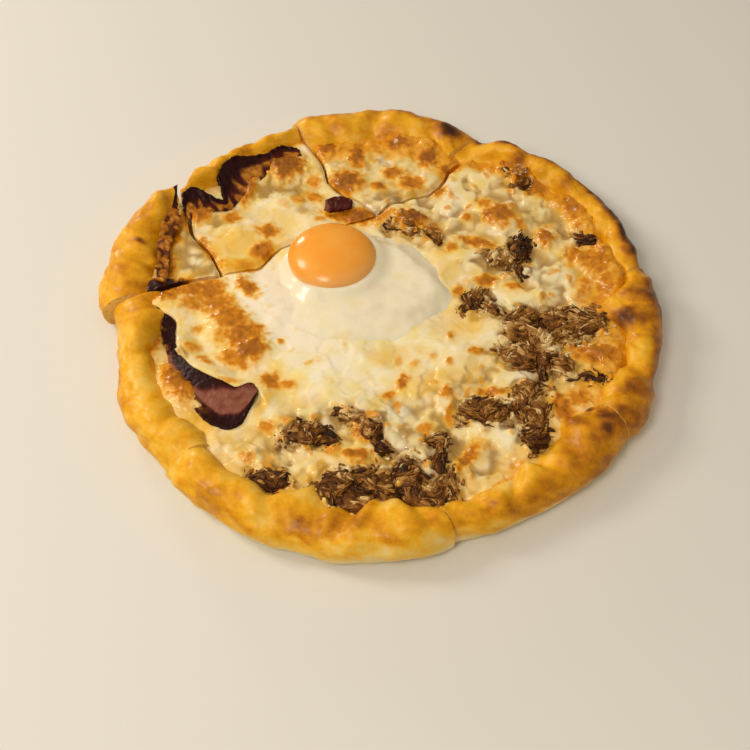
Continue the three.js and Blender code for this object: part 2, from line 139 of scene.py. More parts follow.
# Toasted places on the crust, a few of them painted shade: degrees, share across the rim, reach along and
# across, strength.
TOASTED_AND_SHADED = (
    (75, 0.7, 9, 6, 0.5), (86, 0.85, 7, 4, 0.35), (82, 0.7, 6, 3, 0.22), (100, 0.95, 8, 4, 0.3),
    (59, 0.75, 7, 4, 0.42), (49, 0.9, 11, 4, 0.45), (54, 0.3, 7, 5, 0.25), (38, 0.95, 14, 4, 0.4),
    (28, 0.88, 14, 5.5, 0.42), (20, 0.82, 11, 6, 0.4), (12, 0.85, 8, 4, 0.2), (356, 0.42, 6, 6, 0.46),
    (2, 0.6, 7, 5, 0.24), (3, 0.95, 12, 5, 0.3), (348, 0.95, 12, 4, 0.25), (336, 0.6, 5, 5, 0.26),
    # The places at 322 to 328 degrees, by the cut to the southeast, are browner crust and painted shade in
    # the fold there.
    (326, 0.5, 8, 7, 0.3), (322, 0.35, 6, 4, 0.3), (328, 0.12, 3, 3, 0.5), (322, 0.75, 6, 3, 0.22),
    (307, 0.4, 6, 4, 0.05), (296, 0.8, 9, 5, 0.06), (304, 0.6, 12, 7, -0.1), (258, 0.85, 6, 4, 0.08),
    (262, 0.4, 4, 5, 0.14), (165, 0.45, 2, 2, 0.3), (200, 0.1, 4, 4, 0.16), (90, 0.25, 9, 4, 0.16),
    (41, 0.5, 5, 5, 0.2), (244, 0.6, 5, 3, 0.16), (272, 0.75, 5, 3, 0.1), (212, 0.5, 5, 4, 0.14),
    (66, 0.9, 6, 4, 0.3), (238, 0.8, 18, 9, 0.08), (254, 0.85, 18, 7, 0.05), (272, 0.85, 20, 7, 0.06),
    (205, 0.6, 16, 8, -0.16), (234, 0.5, 14, 8, -0.1), (347, 0.5, 8, 6, -0.06), (255, 0.35, 10, 6, -0.16),
    (273, 0.35, 11, 6, -0.16), (298, 0.35, 10, 5, -0.12), (263, 0.58, 22, 4, 0.16),
    (225, 0.35, 12, 6, -0.1), (256, 0.85, 7, 4, 0.12), (318, 0.5, 7, 5, 0.08),
)

# The filling. The sheet of cheese reaches that share of the way across the rim, under its slope.
CHEESE_TOP = 12.5
CHEESE_RADIUS = 117.0
CHEESE_SKIRT = 6.0
CHEESE_LUMP = 0.9
CHEESE_REACHES = 0.55
CHEESE_GRID = 0.5
CHEESE_MOUNDS = (
    (-88, 3, 13, 2.0), (-68, -12, 13, 2.8), (-55, -29, 10, 2.4), (-66, 36, 11, 2.0), (-50, 84, 10, 2.4),
    (-16, 80, 9, 2.4), (15, 103, 12, 2.0), (58, 61, 9, 2.6), (99, 28, 12, 2.0), (98, -24, 10, 2.4),
    (30, -48, 10, 1.6),
)

# Browned blisters on each piece, and one painted shadow: place, half length, half width, turn in degrees,
# strength.
BROWNED_AND_SHADOWED = {
    "southwest": (
        (-99, 3, 7, 6, 20, 1.0), (-99, -24, 3, 8, 0, 0.9), (-95, 2, 7, 6, 10, 0.9),
        (-86, 5, 9, 5, 10, 0.85), (-77, 7, 7, 7, -40, 0.9), (-82, -3, 9, 6, 0, 0.7),
        (-72, -3, 9, 8, -50, 0.85), (-66, -12, 10, 8, -50, 0.85), (-60, -21, 9, 9, -50, 0.95),
        (-56, -29, 6, 8, -60, 1.05), (-62, -34, 8, 5, -20, 0.85), (-69, -22, 5, 6, 0, 0.6),
        (-80, -18, 3, 3, 0, 0.6), (-81, -29, 4, 3.5, 0, 0.65), (-75, -36, 4, 2.5, -30, 0.75),
        (-86, -48, 11, 6, -55, 1.0), (-99, -38, 3, 3.5, 0, 0.8), (-65, -48, 8, 1.8, 0, 0.6),
    ),
    "center": (
        (-13, 55.5, 15, 4.5, -3, 1.1), (-60, 8, 7, 4, -48, 0.95), (-46, -45, 4.5, 4.5, 0, 0.95),
        (-39, -47, 5, 2.5, 0, 0.7), (-43, -23, 1.8, 1.8, 0, 0.7), (-30, -35, 2, 1.5, 0, 0.4),
        (16, -33, 2.5, 2, 20, 0.45), (24, -29, 2.5, 1.5, 10, 0.5), (32, -17, 1.6, 3, 0, 0.7),
        (9, -32, 1.8, 3, 0, 0.5), (-60, 19, 2, 2, 0, 0.75), (-39, 47, 2.5, 2, 0, 0.7),
    ),
    "northwest": (
        (-47, 87, 8, 9.5, -15, 1.15), (-52, 93, 6, 5, 20, 1.0), (-71, 52, 4.5, 4.5, 20, 0.75),
        (-86, 54, 5, 6, -30, 0.95), (-64, 70, 3, 9, -12, 0.95), (-68, 76, 2, 8, -10, 0.7),
        (-83, 34, 3, 6, 25, 0.85), (-79, 27, 3, 6, 30, 0.85), (-73, 22, 6, 3.5, -10, 0.5),
        (-62, 22, 8, 4, 15, 0.55), (-55, 31, 6, 5, 45, 1.0), (-53, 44, 5.5, 4.5, 0, 0.9),
        (-40, 65, 4, 3, 0, 0.65), (-33, 68, 5, 3, -20, 0.8), (-33, 78, 4, 4, 0, 0.75),
        (-29, 53, 3, 2, 0, 0.6), (-14, 57, 13, 4.5, 0, 1.1), (-47, 62, 3, 2.5, 0, 0.4),
    ),
    "west": (
        # The first place here, a dark strip along the cut to the southwest, is a painted shadow of the gap
        # over browned cheese.
        (-98, 7, 15, 4, 8, 2.0), (-98, 40, 5, 8, 0, 0.9), (-98, 20, 4, 12, 0, 0.9),
        (-94, 50, 3, 6, 10, 0.8), (-80, 30, 2.5, 7, 25, 0.6),
    ),
    "north": (
        (-17, 77, 8, 7.5, 0, 1.1), (-27, 102, 5, 4.5, 0, 1.1), (-13, 96, 4.5, 8, 0, 1.05),
        (7, 105, 7, 4.5, -10, 1.05), (22, 96, 5, 6, -20, 1.15), (5, 86, 5, 3.5, 0, 0.95),
        (-1, 76, 4, 3.5, 0, 0.95), (14, 79, 7, 5, -30, 0.95), (31, 89, 4, 3, -30, 0.95),
        (36, 96, 9, 6, -40, 0.65), (16, 101, 8, 4, -20, 0.6), (-5, 106, 6, 3, 0, 0.5),
    ),
    "northeast": (
        (14, 52, 8, 6, -10, 1.2), (0, 57, 6, 3.5, 0, 0.8), (24, 46, 4, 6, -20, 0.85),
        (27, 74, 4, 4, 0, 0.85), (49, 65, 4.5, 4, 0, 0.85), (56, 57, 7.5, 6.5, -10, 1.0),
        (41, 57, 2.5, 3, 0, 0.75), (66, 52, 2.5, 3.5, 0, 0.75), (45, 41, 9, 3.5, -12, 0.95),
        (33, 36, 3, 3, 0, 0.85), (77, 43, 4, 6, 10, 1.0), (80, 53, 3, 3, 0, 0.5),
        (62, 93, 6, 5, -20, 0.95), (68, 87, 5, 8, -15, 1.2), (74, 76, 6, 4, 30, 0.95),
        (48, 98, 9, 6, -10, 0.7), (80, 84, 8, 7, -30, 0.75), (90, 64, 4, 10, 20, 0.95),
        (93, 51, 3, 2.5, 0, 0.7), (100, 28, 8, 10, 0, 0.85), (91, 32, 6, 7, 0, 0.8),
        (103, 14, 6, 7, 0, 0.75), (94, 14, 5, 6, 0, 0.7), (49, 17, 5.5, 3.5, 0, 0.95),
        (61, 13, 4.5, 2.5, 0, 0.8), (36, 10, 2.5, 3.5, 0, 0.8), (74, 7, 1.8, 2.5, 0, 0.6),
        (34, 82, 2, 2, 0, 0.4),
    ),
    "east": (
        (96, -27, 10, 6.5, -5, 0.95), (88, -24, 5, 4, 0, 0.8), (105, -30, 4, 7, 0, 0.8),
        (97, -46, 5, 4, 0, 0.55), (92, 7, 5, 4, 0, 0.6), (102, -2, 3, 6, 0, 0.5),
    ),
    "southeast": (
        (11, -44, 2.5, 5, -10, 0.95), (5, -51, 3.5, 2, 20, 0.75), (30, -51, 3.5, 3.5, 0, 0.75),
        (31, -61, 2, 5, 0, 0.7), (38, -83, 3, 9, -32, 0.95), (45, -76, 3, 3, 0, 0.5),
        (49, -48, 8, 2.5, 0, 0.85), (80, -57, 5, 10, 15, 0.9), (87, -50, 6, 5, 0, 0.8),
        (43, -26, 4, 2.5, 0, 0.75), (31, -33, 1.8, 2.5, 0, 0.7), (21, -68, 4, 2.5, 20, 0.65),
        (59, -88, 6, 4, 30, 0.55), (52, -97, 6, 3, 30, 0.6),
    ),
    "south": (
        (-8, -83, 6, 3, 0, 0.95), (-18, -81, 4, 4, 30, 0.7), (-6, -72, 6, 3, -45, 0.8),
        (-46, -70, 4, 2.5, 0, 0.75), (-53, -86, 4, 3, 0, 0.6), (-38, -67, 4, 2.5, -10, 0.55),
        (-44, -88, 3, 4, 0, 0.45), (-14, -60, 4, 2, 0, 0.4),
    ),
}

# Places where the cheese is thin over meat: place, half length, half width, turn, strength.
THIN = {
    "south": (
        (-20, -64, 8, 5, 10, 1.1), (-46, -87, 8, 6, 0, 0.9), (-30, -86, 9, 4, -5, 0.5),
        (-56, -78, 6, 6, 0, 0.6), (-4, -57, 8, 4, -10, 0.7),
    ),
    "southeast": (
        (13, -74, 7, 8, 20, 0.9), (43, -84, 9, 10, 0, 0.85), (22, -94, 5, 8, 0, 0.9),
        (57, -84, 8, 6, 0, 0.7), (36, -43, 5, 4, -30, 0.8), (17, -60, 7, 5, 0, 0.5),
    ),
    "northeast": (
        (18, 42, 10, 5, -15, 1.0), (36, 50, 10, 6, 0, 0.9), (68, 58, 8, 8, 0, 0.9),
        (82, 60, 9, 7, 0, 0.5), (56, 21, 12, 5, -20, 0.9), (76, 18, 6, 8, 0, 0.8), (44, 12, 8, 4, 0, 0.7),
        (86, 48, 8, 6, 0, 0.6),
    ),
    "north": (
        (-30, 98, 7, 8, 0, 0.9), (-14, 90, 12, 6, 0, 0.9), (8, 70, 14, 6, 10, 1.0),
        (0, 95, 16, 6, -5, 0.7), (24, 84, 8, 5, -30, 0.5),
    ),
    "northwest": (
        (-57, 74, 9, 9, 0, 1.5), (-44, 72, 10, 7, 0, 1.4), (-76, 50, 9, 5, 10, 1.4),
        (-37, 60, 6, 4, 0, 0.8), (-84, 50, 9, 9, 0, 0.8), (-64, 56, 8, 6, 0, 0.5),
        (-33, 86, 6, 7, 0, 0.6),
    ),
    "west": ((-86, 28, 16, 22, 0, 1.2),),
    "southwest": (
        (-88, -34, 6, 3, -35, 1.0), (-86, -24, 6, 9, 30, 0.5), (-88, -46, 7, 10, 20, 0.7),
        (-70, -64, 9, 6, 0, 0.9),
    ),
    "east": ((85, -18, 7, 4, -25, 0.9), (95, -36, 12, 4, 0, 0.7), (76, -44, 4, 6, 0, 0.6)),
    "center": ((14, -2, 5, 5, 0, 0.5),),
}

# Oily yellow places on the cheese.
OILY = {
    "northwest": (
        (-66, 21, 16, 5, 0, 1.5), (-54, 30, 9, 5, 45, 1.4), (-77, 28, 6, 5, 60, 1.3),
        (-68, 36, 14, 10, 0, 1.1), (-50, 52, 12, 8, 0, 0.6), (-15, 57, 14, 5, 0, 2.0),
        (-58, 82, 6, 6, 0, 0.4),
    ),
    "center": (
        (-34, -22, 18, 11, -30, 0.5), (4, -30, 16, 6, 20, 0.8), (38, -8, 13, 10, 10, 0.9),
        (-13, 56, 16, 5, -3, 2.0), (-24, -38, 10, 5, 0, 0.5),
    ),
    "north": ((36, 97, 12, 7, -40, 1.1), (4, 107, 22, 5, -4, 0.9), (20, 88, 8, 5, -20, 0.5)),
    "southeast": ((26, -44, 18, 7, 15, 0.9), (46, -33, 14, 8, 10, 0.6), (26, -60, 8, 10, 0, 0.5)),
    "northeast": (
        (48, 78, 14, 9, 0, 0.35), (30, 22, 6, 12, 30, 0.7), (100, 26, 14, 14, 0, 1.0),
        (88, 72, 8, 14, 20, 1.0),
    ),
    "southwest": (
        (-70, -42, 10, 5, 0, 0.5), (-95, -60, 6, 8, 30, 1.0), (-76, -68, 10, 7, -30, 1.3),
        (-48, -58, 3, 9, -20, 1.2),
    ),
    "south": (
        (-34, -57, 12, 4, 20, 0.6), (-10, -84, 16, 6, 0, 0.9), (-28, -84, 10, 4, 0, 0.5),
        (-50, -76, 10, 8, 0, 0.6),
    ),
    "east": ((100, -20, 10, 14, 0, 0.6),),
}

# Places where the cheese and the thin white of the egg ran into each other, milky and pale.
MILKY = ((-50, 4, 20, 17, -35, 1.0), (-36, -18, 22, 13, -38, 0.9), (-20, -34, 16, 8, -20, 0.6))

# Slices of cured beef, each between a raised edge and an edge that lies down: points in plan with
# their height over the cheese.
BEEF_EDGES = {
    "beef_southwest": (
        (
            (-101, -8, 2.0), (-91, -14, 2.6), (-90, -22, 2.6), (-88, -30, 2.4), (-82, -40, 3.2),
            (-75, -45, 3.6), (-67, -49, 3.8), (-60, -52, 3.6), (-54, -49, 3.6), (-51, -53, 3.0),
        ),
        (
            (-101, -7, 2.0), (-97, -14, 2.2), (-95, -25, 2.0), (-92, -33, 1.6), (-89, -43, 1.2),
            (-82, -54, 1.0), (-76, -63, 1.0), (-68, -70, 1.0), (-58, -70, 1.2), (-51, -54, 2.6),
        ),
    ),
    "beef_northwest": (
        (
            (-94, 54, 3.0), (-94, 61, 6.0), (-90, 65, 6.8), (-85, 64, 6.0), (-80, 62, 4.6),
            (-75, 62, 3.8), (-77, 68, 5.4), (-79, 75, 6.8), (-76, 82, 7.4), (-70, 87, 7.0),
            (-63, 89, 6.4), (-56, 92, 6.0), (-49, 97, 5.6), (-41, 97, 4.0),
        ),
        (
            (-91, 50, 1.2), (-89, 52, 1.4), (-85, 54, 1.6), (-82, 55, 1.6), (-77, 56, 1.6),
            (-72, 57, 1.6), (-69, 62, 1.6), (-66, 67, 1.6), (-62, 72, 1.6), (-58, 77, 1.6),
            (-55, 82, 1.6), (-51, 87, 1.6), (-46, 92, 1.6), (-40, 94, 2.0),
        ),
    ),
    "beef_west": (
        (
            (-98.5, 64, 6.0), (-99, 55, 4.5), (-102, 45, 3.8), (-103, 33, 3.4), (-102.5, 20, 3.2),
            (-101, 7, 2.6),
        ),
        (
            (-97.5, 65, 6.5), (-96.5, 55, 3.5), (-94.5, 45, 2.4), (-97, 33, 2.2), (-97, 20, 2.0),
            (-96, 6, 1.6),
        ),
    ),
    "beef_northwest_tip": (
        ((-27, 64, 3.2), (-23, 65.5, 3.6), (-18, 65.5, 3.6), (-14, 63, 3.2)),
        ((-27, 60, 2.4), (-23, 59, 2.2), (-18, 59, 2.2), (-14, 60, 2.4)),
    ),
}
BEEF_GRID = (220, 30)
BEEF_THICKNESS = {
    "beef_southwest": 1.5, "beef_northwest": 1.6, "beef_west": 1.6, "beef_northwest_tip": 2.4,
}

# Cheese that ran over the beef and the meat: place, half length, half width, turn, height over it.
CHEESE_LAPS = (
    (-87, -33, 4, 1.8, -40, 2.6), (-86, -50, 11, 5.5, -55, 3.2), (-78, -59, 3.5, 2.5, 0, 2.6),
    (-47, 86, 8, 9, -15, 2.2), (-86, 54, 4, 4, 0, 1.8), (-63, 71, 2.2, 8, -12, 1.6),
    (-69, 74, 1.4, 6, -10, 1.6), (14, 52, 8, 6, -10, 4.2), (68, 87, 5, 8, -15, 1.6),
    (62, 93, 6, 5, -20, 1.4), (77, 43, 4, 6, 10, 2.2), (-46, -86, 6, 5, 0, 2.2),
)

# Cheese that climbed the inner slope of the rim: place, half length, half width, turn, climb.
CHEESE_CLIMBS = (
    (104, 24, 12, 16, 0, 4.5), (92, 60, 10, 14, 40, 3.5), (70, 90, 14, 9, -40, 3.5),
    (16, 104, 18, 7, -5, 3.0), (100, -30, 8, 10, 0, 2.5),
)

# Pieces whose cheese ran together again over the cuts between them.
RAN_TOGETHER = ("center", "southeast", "northeast", "east", "south", "southwest")

# The egg white, round its own middle, and how high over its foot the yolk is widest.
WHITE_AT = (-9.0, 7.0)
WHITE_RADIUS = 40.0
WHITE_RISE = 2.7
WHITE_RINGS = 110
WHITE_STEPS = 320
YOLK_SEAT = 2.5

# Clumps of meat in each heap: place, half length, half width, turn in degrees, tone from dark to light.
CLUMPS = {
    "meat_south_rim": (
        (-13, -98, 10, 6.5, -8, 0.36), (1, -98.5, 9, 9, 0, 0.36), (14, -96, 7, 11, 0, 0.4),
        (20, -104, 8, 6, -10, 0.4), (-18, -103, 7, 5.5, -30, 0.34), (-9, -106, 10, 5, -8, 0.34),
        (6, -105, 8, 4.5, 0, 0.38), (26, -104, 6, 6, 0, 0.4),
    ),
    "meat_south_middle": ((-30, -74, 8.5, 6, -5, 0.42), (-21, -75, 4.5, 5.5, 0, 0.22)),
    "meat_south_left": ((-43, -97, 9.5, 4.5, -14, 0.25),),
    "meat_south_cut": (
        (-11, -64, 6, 4, -35, 0.48), (-2, -70, 5, 4.5, -60, 0.35), (3, -78, 6.5, 3.5, -65, 0.22),
    ),
    "meat_southeast_rim": (
        (25, -75, 4.5, 4, 0, 0.3), (27, -84, 8, 4, 90, 0.3), (29, -99, 8, 5.5, 80, 0.45),
    ),
    "meat_southeast_inner": ((46, -60, 10, 6.5, 0, 0.4),),
    "meat_southeast_outer": (
        (66, -48, 6, 6, 0, 0.46), (65, -58, 8, 8, 90, 0.46), (67, -68, 7, 6, 0, 0.32),
        (66, -75, 5, 5, 0, 0.22),
    ),
    "meat_east_main": (
        (65, -7, 7, 6.5, 0, 0.46), (80, -7, 7, 9, 0, 0.5), (93, -8, 9, 9, 0, 0.54),
        (64, -26, 11, 6, -5, 0.54), (73, -33, 7, 5, 90, 0.28), (80, -33, 5, 4.5, 0, 0.6),
        (84, -18, 8, 5, -30, 0.75), (72, -18, 8, 5, 0, 0.65), (62, -16, 6, 4, 0, 0.65),
    ),
    "meat_east_small": ((93, -40.5, 7, 3, -3, 0.22),),
    "meat_northeast_inner": ((43, 3, 7, 6, 70, 0.42), (51, -2, 5, 3.2, -20, 0.45)),
    "meat_northeast_middle": (
        (66, 36, 8, 5, 90, 0.14), (55, 31, 8, 5.5, 10, 0.7), (64, 22, 4.5, 3, -60, 0.45),
    ),
    "meat_northeast_rim": ((96, 43, 5.5, 4.5, -20, 0.16),),
    "meat_northeast_far": ((68, 80, 6, 4.5, 60, 0.42), (66, 90, 6, 5, 0, 0.42)),
    "meat_northeast_tip": ((24, 43, 5, 3.5, -30, 0.5), (6, 50, 4, 3, 0, 0.55), (14, 46, 5, 3, -10, 0.45)),
}

# Meat pulled apart along its grain: half lengths and half widths of a flake, a loose strand and a
# crumb, the area that a flake takes up in a clump, crumbs for each flake, the least and the most that
# a clump rises, and how far apart the marks of its fibres are along and across the grain.
FLAKE = ((1.1, 2.8), (0.55, 1.2))
STRAND = ((1.2, 2.6), (0.25, 0.42))
CRUMB = ((0.5, 1.6), (0.3, 0.8))
FLAKE_AREA = 3.1
CRUMB_SHARE = 1.1
CLUMP_RISE = (2.8, 5.6)
FIBRE = (2.4, 0.7, 0.7)
MEAT_SEED = 11

# The camera, from the place and angle of the photograph.
CAMERA_AIM = Vector((-1.06, -30.66, 0.0))
CAMERA_DISTANCE = 622.3
CAMERA_ELEVATION = 51.56
CAMERA_ROLL = 1.494
CAMERA_FIELD = 30.0

# The stage: half the floor's width, the light's colours, and each lamp's place, width, height and watts.
FLOOR_HALF = 2000
SKY_COLOUR = (1.0, 0.88, 0.68, 1.0)
LAMP_COLOUR = (1.0, 0.9, 0.74)
LAMPS = {
    "front lamp": ((-330, -560, 800), 300, 300, 3.3),
    "left lamp": ((-800, 180, 640), 300, 300, 3.9),
    "far window": ((-640, 1000, 260), 160, 200, 2.2),
}


def smooth(low, high, value):
    """A soft step from 0 at low to 1 at high."""
    share = np.clip((value - low) / (high - low), 0.0, 1.0)
    return share * share * (3.0 - 2.0 * share)


def bump(distance, reach):
    return np.exp(-((distance / reach) ** 2))


def lattice(column, row, seed):
    """Repeatable random numbers from 0 to 1 at whole-number places."""
    mixed = (column * 374761393 + row * 668265263 + seed * 974634777) & 0xFFFFFFFF
    mixed = ((mixed ^ (mixed >> 13)) * 1274126177) & 0xFFFFFFFF
    return ((mixed ^ (mixed >> 16)) & 0xFFFF) / 65535.0


def lumps(x, y, size, seed):
    """Smooth uneven swells of about that size, from -1 to 1."""
    u, v = x / size, y / size
    column, row = np.floor(u).astype(np.int64), np.floor(v).astype(np.int64)
    u, v = u - column, v - row
    ease_u, ease_v = (t * t * t * (t * (t * 6 - 15) + 10) for t in (u, v))
    total = np.zeros_like(u)
    for du in (0, 1):
        for dv in (0, 1):
            turn = 2 * np.pi * lattice(column + du, row + dv, seed)
            slope = np.cos(turn) * (u - du) + np.sin(turn) * (v - dv)
            total += slope * (ease_u if du else 1 - ease_u) * (ease_v if dv else 1 - ease_v)
    return 1.5 * total


def bubbles(x, y, size, seed):
    """Round bubbles of about that size packed side by side: 1 on top of each, 0 between them."""
    u, v = x / size, y / size
    column, row = np.floor(u).astype(np.int64), np.floor(v).astype(np.int64)
    nearest = np.full_like(u, 9.0)
    for du in (-1, 0, 1):
        for dv in (-1, 0, 1):
            at_u = column + du + lattice(column + du, row + dv, seed)
            at_v = row + dv + lattice(column + du, row + dv, seed + 1)
            nearest = np.minimum(nearest, np.hypot(u - at_u, v - at_v))
    return 1.0 - smooth(0.0, 0.85, nearest)


def oval_share(x, y, at_x, at_y, long, wide, turn):
    """How far out each point lies in an oval: 0 at its middle, 1 on its edge."""
    cos, sin = math.cos(math.radians(turn)), math.sin(math.radians(turn))
    along = ((x - at_x) * cos + (y - at_y) * sin) / long
    aside = ((y - at_y) * cos - (x - at_x) * sin) / wide
    return np.hypot(along, aside)


def spots(x, y, places, ragged, soft):
    """How far each point lies inside any of these oval places, from 0 to their strength."""
    field = np.zeros_like(x)
    edge = ragged * lumps(x, y, 3.4, 21) + 0.6 * ragged * lumps(x, y, 1.7, 22)
    for *oval, strength in places:
        inside = 1.0 - smooth(1.0 - soft, 1.0 + soft, oval_share(x, y, *oval) + edge)
        field = np.maximum(field, strength * inside)
    return field


def degrees_from(angle, degrees):
    away = angle - math.radians(degrees)
    return np.degrees(np.abs(np.arctan2(np.sin(away), np.cos(away))))


def along_rim(angle, degrees):
    """Distance along the rim from a place on it."""
    return PIDE_RADIUS * np.radians(degrees_from(angle, degrees))


def squeeze_at(angle):
    """How strongly the cuts squeeze the rim, from 0 to 1."""
    cuts = RIM_CUT.values()
    return np.max([firm * bump(along_rim(angle, at), CUT_REACH) for _, at, _, firm, _, _ in cuts], axis=0)


def outset_at(angle, name):
    """A piece's outset, which leads over into the next piece's beside a cut that closed again."""
    cuts, own, _ = PIECES[name]
    outset = np.full_like(angle, own)
    for cut in cuts:
        beside = [other[1] for other in PIECES.values() if cut in other[0]]
        closed = (1 - RIM_CUT[cut][3]) * bump(along_rim(angle, RIM_CUT[cut][1]), MEET_REACH)
        outset += closed * (sum(beside) / len(beside) - own)
    return outset


def sum_at(angle, places):
    """Adds up what a list of places round the rim gives at each angle."""
    return sum(amount * bump(degrees_from(angle, at), reach) for at, reach, amount in places)


def outline_radius(angle, name, squeeze=None):
    squeeze = squeeze_at(angle) if squeeze is None else squeeze
    ripple = np.sin(9 * angle + 1) + 0.6 * np.sin(16 * angle + 2.4)
    swell = sum_at(angle, SWELLS) + 0.6 * RIM_RIPPLE * ripple
    return PIDE_RADIUS + outset_at(angle, name) + swell - CUT_PULLS_IN * squeeze


def inner_radius(angle, name, squeeze=None):
    squeeze = squeeze_at(angle) if squeeze is None else squeeze
    folds = np.sin(11 * angle + 0.5) + 0.4 * np.sin(19 * angle + 1.7)
    edge = PIDE_RADIUS + outset_at(angle, name) - PIECES[name][2] + CUT_OPENS * squeeze
    return edge + 0.6 * RIM_RIPPLE * folds - sum_at(angle, HUMPS)


def crest_height(angle, squeeze=None):
    squeeze = squeeze_at(angle) if squeeze is None else squeeze
    ripple = np.sin(8 * angle + 0.4) + 0.7 * np.sin(13 * angle + 2)
    return RIM_HEIGHT + CREST_RIPPLE * ripple - CUT_PRESSES_DOWN * squeeze


def piece_corners(name, sheet=False):
    """The corners of a piece in plan, counter-clockwise, each with the cut that starts there.

    A sheet of cheese reaches the middle of a cut that it ran over.
    """
    between = PIECES[name][0]
    if not between:
        names = list(CROSSING)
        following = names[1:] + names[:1]
        return [(Vector(CROSSING[a]), "_".join(sorted((a, b)))) for a, b in zip(names, following)]

    def cut_end(cut, sign):
        start, degrees, gap = RIM_CUT[cut][:3]
        gap = 0.0 if sheet and cheese_gap(cut) < CLOSED_GAP else gap
        angle = math.radians(degrees + sign * gap)
        rim = PIDE_RADIUS * Vector((math.cos(angle), math.sin(angle)))
        return Vector(CROSSING[start]).lerp(rim, CUT_RUNS_OUT)

    first, last = between
    tips = list(dict.fromkeys((RIM_CUT[last][0], RIM_CUT[first][0])))
    corners = [(Vector(CROSSING[tips[0]]), "_".join(sorted(tips)))] if len(tips) == 2 else []
    corners.append((Vector(CROSSING[tips[-1]]), first))
    corners.append((cut_end(first, 1), None))
    corners.append((cut_end(last, -1), last))
    return corners


def cut_sides(name, sheet=False):
    """The upright cut faces of a piece: a point, the way into the piece, and the cut's name."""
    corners = piece_corners(name, sheet)
    sides = []
    for (start, cut), (end, _) in zip(corners, corners[1:] + corners[:1]):
        along = (end - start).normalized()
        if cut:
            sides.append((start, Vector((-along.y, along.x)), cut))
    return sides


def trim(bm, name, gap_of, cap_material):
    """Cuts away what lies outside a piece, and closes each cut face if that has a material."""
    for start, inward, cut in cut_sides(name, gap_of is cheese_gap):
        at = start + inward * (0.5 * gap_of(cut))
        geometry = bm.verts[:] + bm.edges[:] + bm.faces[:]
        made = bmesh.ops.bisect_plane(
            bm, geom=geometry, plane_co=(*at, 0), plane_no=(*-inward, 0), dist=1e-5, clear_outer=True
        )
        if cap_material is not None:
            edges = [e for e in made["geom_cut"] if isinstance(e, bmesh.types.BMEdge)]
            for face in bmesh.ops.holes_fill(bm, edges=edges)["faces"]:
                face.material_index = cap_material


def bread_gap(cut):
    return RIM_CUT[cut][4] if cut in RIM_CUT else MIDDLE_CUT[cut]


def cheese_gap(cut):
    return RIM_CUT[cut][5] if cut in RIM_CUT else MIDDLE_CUT[cut]


def from_cuts(x, y, name):
    """For each cut of a piece, the distance of every point from it and the cut's name."""
    return [
        ((x - start.x) * inward.x + (y - start.y) * inward.y, cut) for start, inward, cut in cut_sides(name)
    ]


def read_points(mesh):
    flat = np.empty(3 * len(mesh.vertices))
    mesh.vertices.foreach_get("co", flat)
    return flat.reshape(-1, 3)


def write_points(mesh, points):
    mesh.vertices.foreach_set("co", points.astype(np.float32).ravel())
    mesh.update()


def paint(mesh, **values):
    """Keeps one number for each vertex under each name, for the materials to read."""
    for name, value in values.items():
        layer = mesh.attributes.new(name, "FLOAT", "POINT")
        layer.data.foreach_set("value", np.asarray(value, dtype=np.float32))


def mesh_from(bm, name):
    mesh = bpy.data.meshes.new(name)
    bm.to_mesh(mesh)
    bm.free()
    return mesh


def finish_piece(mesh, materials, node):
    """Scales a mesh to metres and makes it a piece that rides on the body and stands for its node."""
    mesh.transform(Matrix.Scale(MM, 4))
    mesh.polygons.foreach_set("use_smooth", [True] * len(mesh.polygons))
    for material in materials:
        mesh.materials.append(material)
    piece = bpy.data.objects.new(mesh.name, mesh)
    bpy.context.scene.collection.objects.link(piece)
    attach(piece, "root")
    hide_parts(node)
    return piece


def rim_profile():
    """The bread's section from the underside's middle, round the rim and back to the floor's middle."""
    inner = PIDE_RADIUS - RIM_WIDTH
    lift = RIM_HEIGHT - FLOOR_THICKNESS
    above = ((0.98, 0.05), (1.0, 0.3), (0.96, 0.58), (0.85, 0.84), (0.68, 0.98), (0.5, 0.98), (0.32, 0.8),
             (0.16, 0.46), (0.0, 0.1))
    bend = [(0.45, 0.0), (0.66, 0.0), (0.88, 1.2)] + [(s, FLOOR_THICKNESS + t * lift) for s, t in above]
    bend.append((-0.12, FLOOR_THICKNESS))
    knots = [Vector((inner + share * RIM_WIDTH, height)) for share, height in bend]
    curve = []
    for before, start, end, after in zip([knots[0]] + knots, knots, knots[1:], knots[2:] + knots[-1:]):
        steps = max(3, round((end - start).length / 0.75))
        for step in range(steps):
            t = step / steps
            bent = 2 * start + (end - before) * t
            bent += (2 * before - 5 * start + 4 * end - after) * t * t
            bent += (3 * start - before - 3 * end + after) * t * t * t
            curve.append(0.5 * bent)
    underside = [Vector((inner * share, 0.0)) for share in (0.0, 0.4, 0.7, 0.9)]
    top = [Vector((inner * share, FLOOR_THICKNESS)) for share in (0.97, 0.7, 0.4, 0.0)]
    return underside + curve + top


def spun(section, steps, weld):
    """A closed body: a section, as points out and up, spun round the upright axis."""
    bm = bmesh.new()
    points = [bm.verts.new((out, 0, up)) for out, up in section]
    lines = [bm.edges.new(pair) for pair in zip(points, points[1:])]
    bmesh.ops.spin(
        bm, geom=points + lines, cent=(0, 0, 0), axis=(0, 0, 1), angle=2 * math.pi, steps=steps,
        use_merge=True,
    )
    bmesh.ops.remove_doubles(bm, verts=bm.verts, dist=weld)
    bmesh.ops.recalc_face_normals(bm, faces=bm.faces)
    return bm


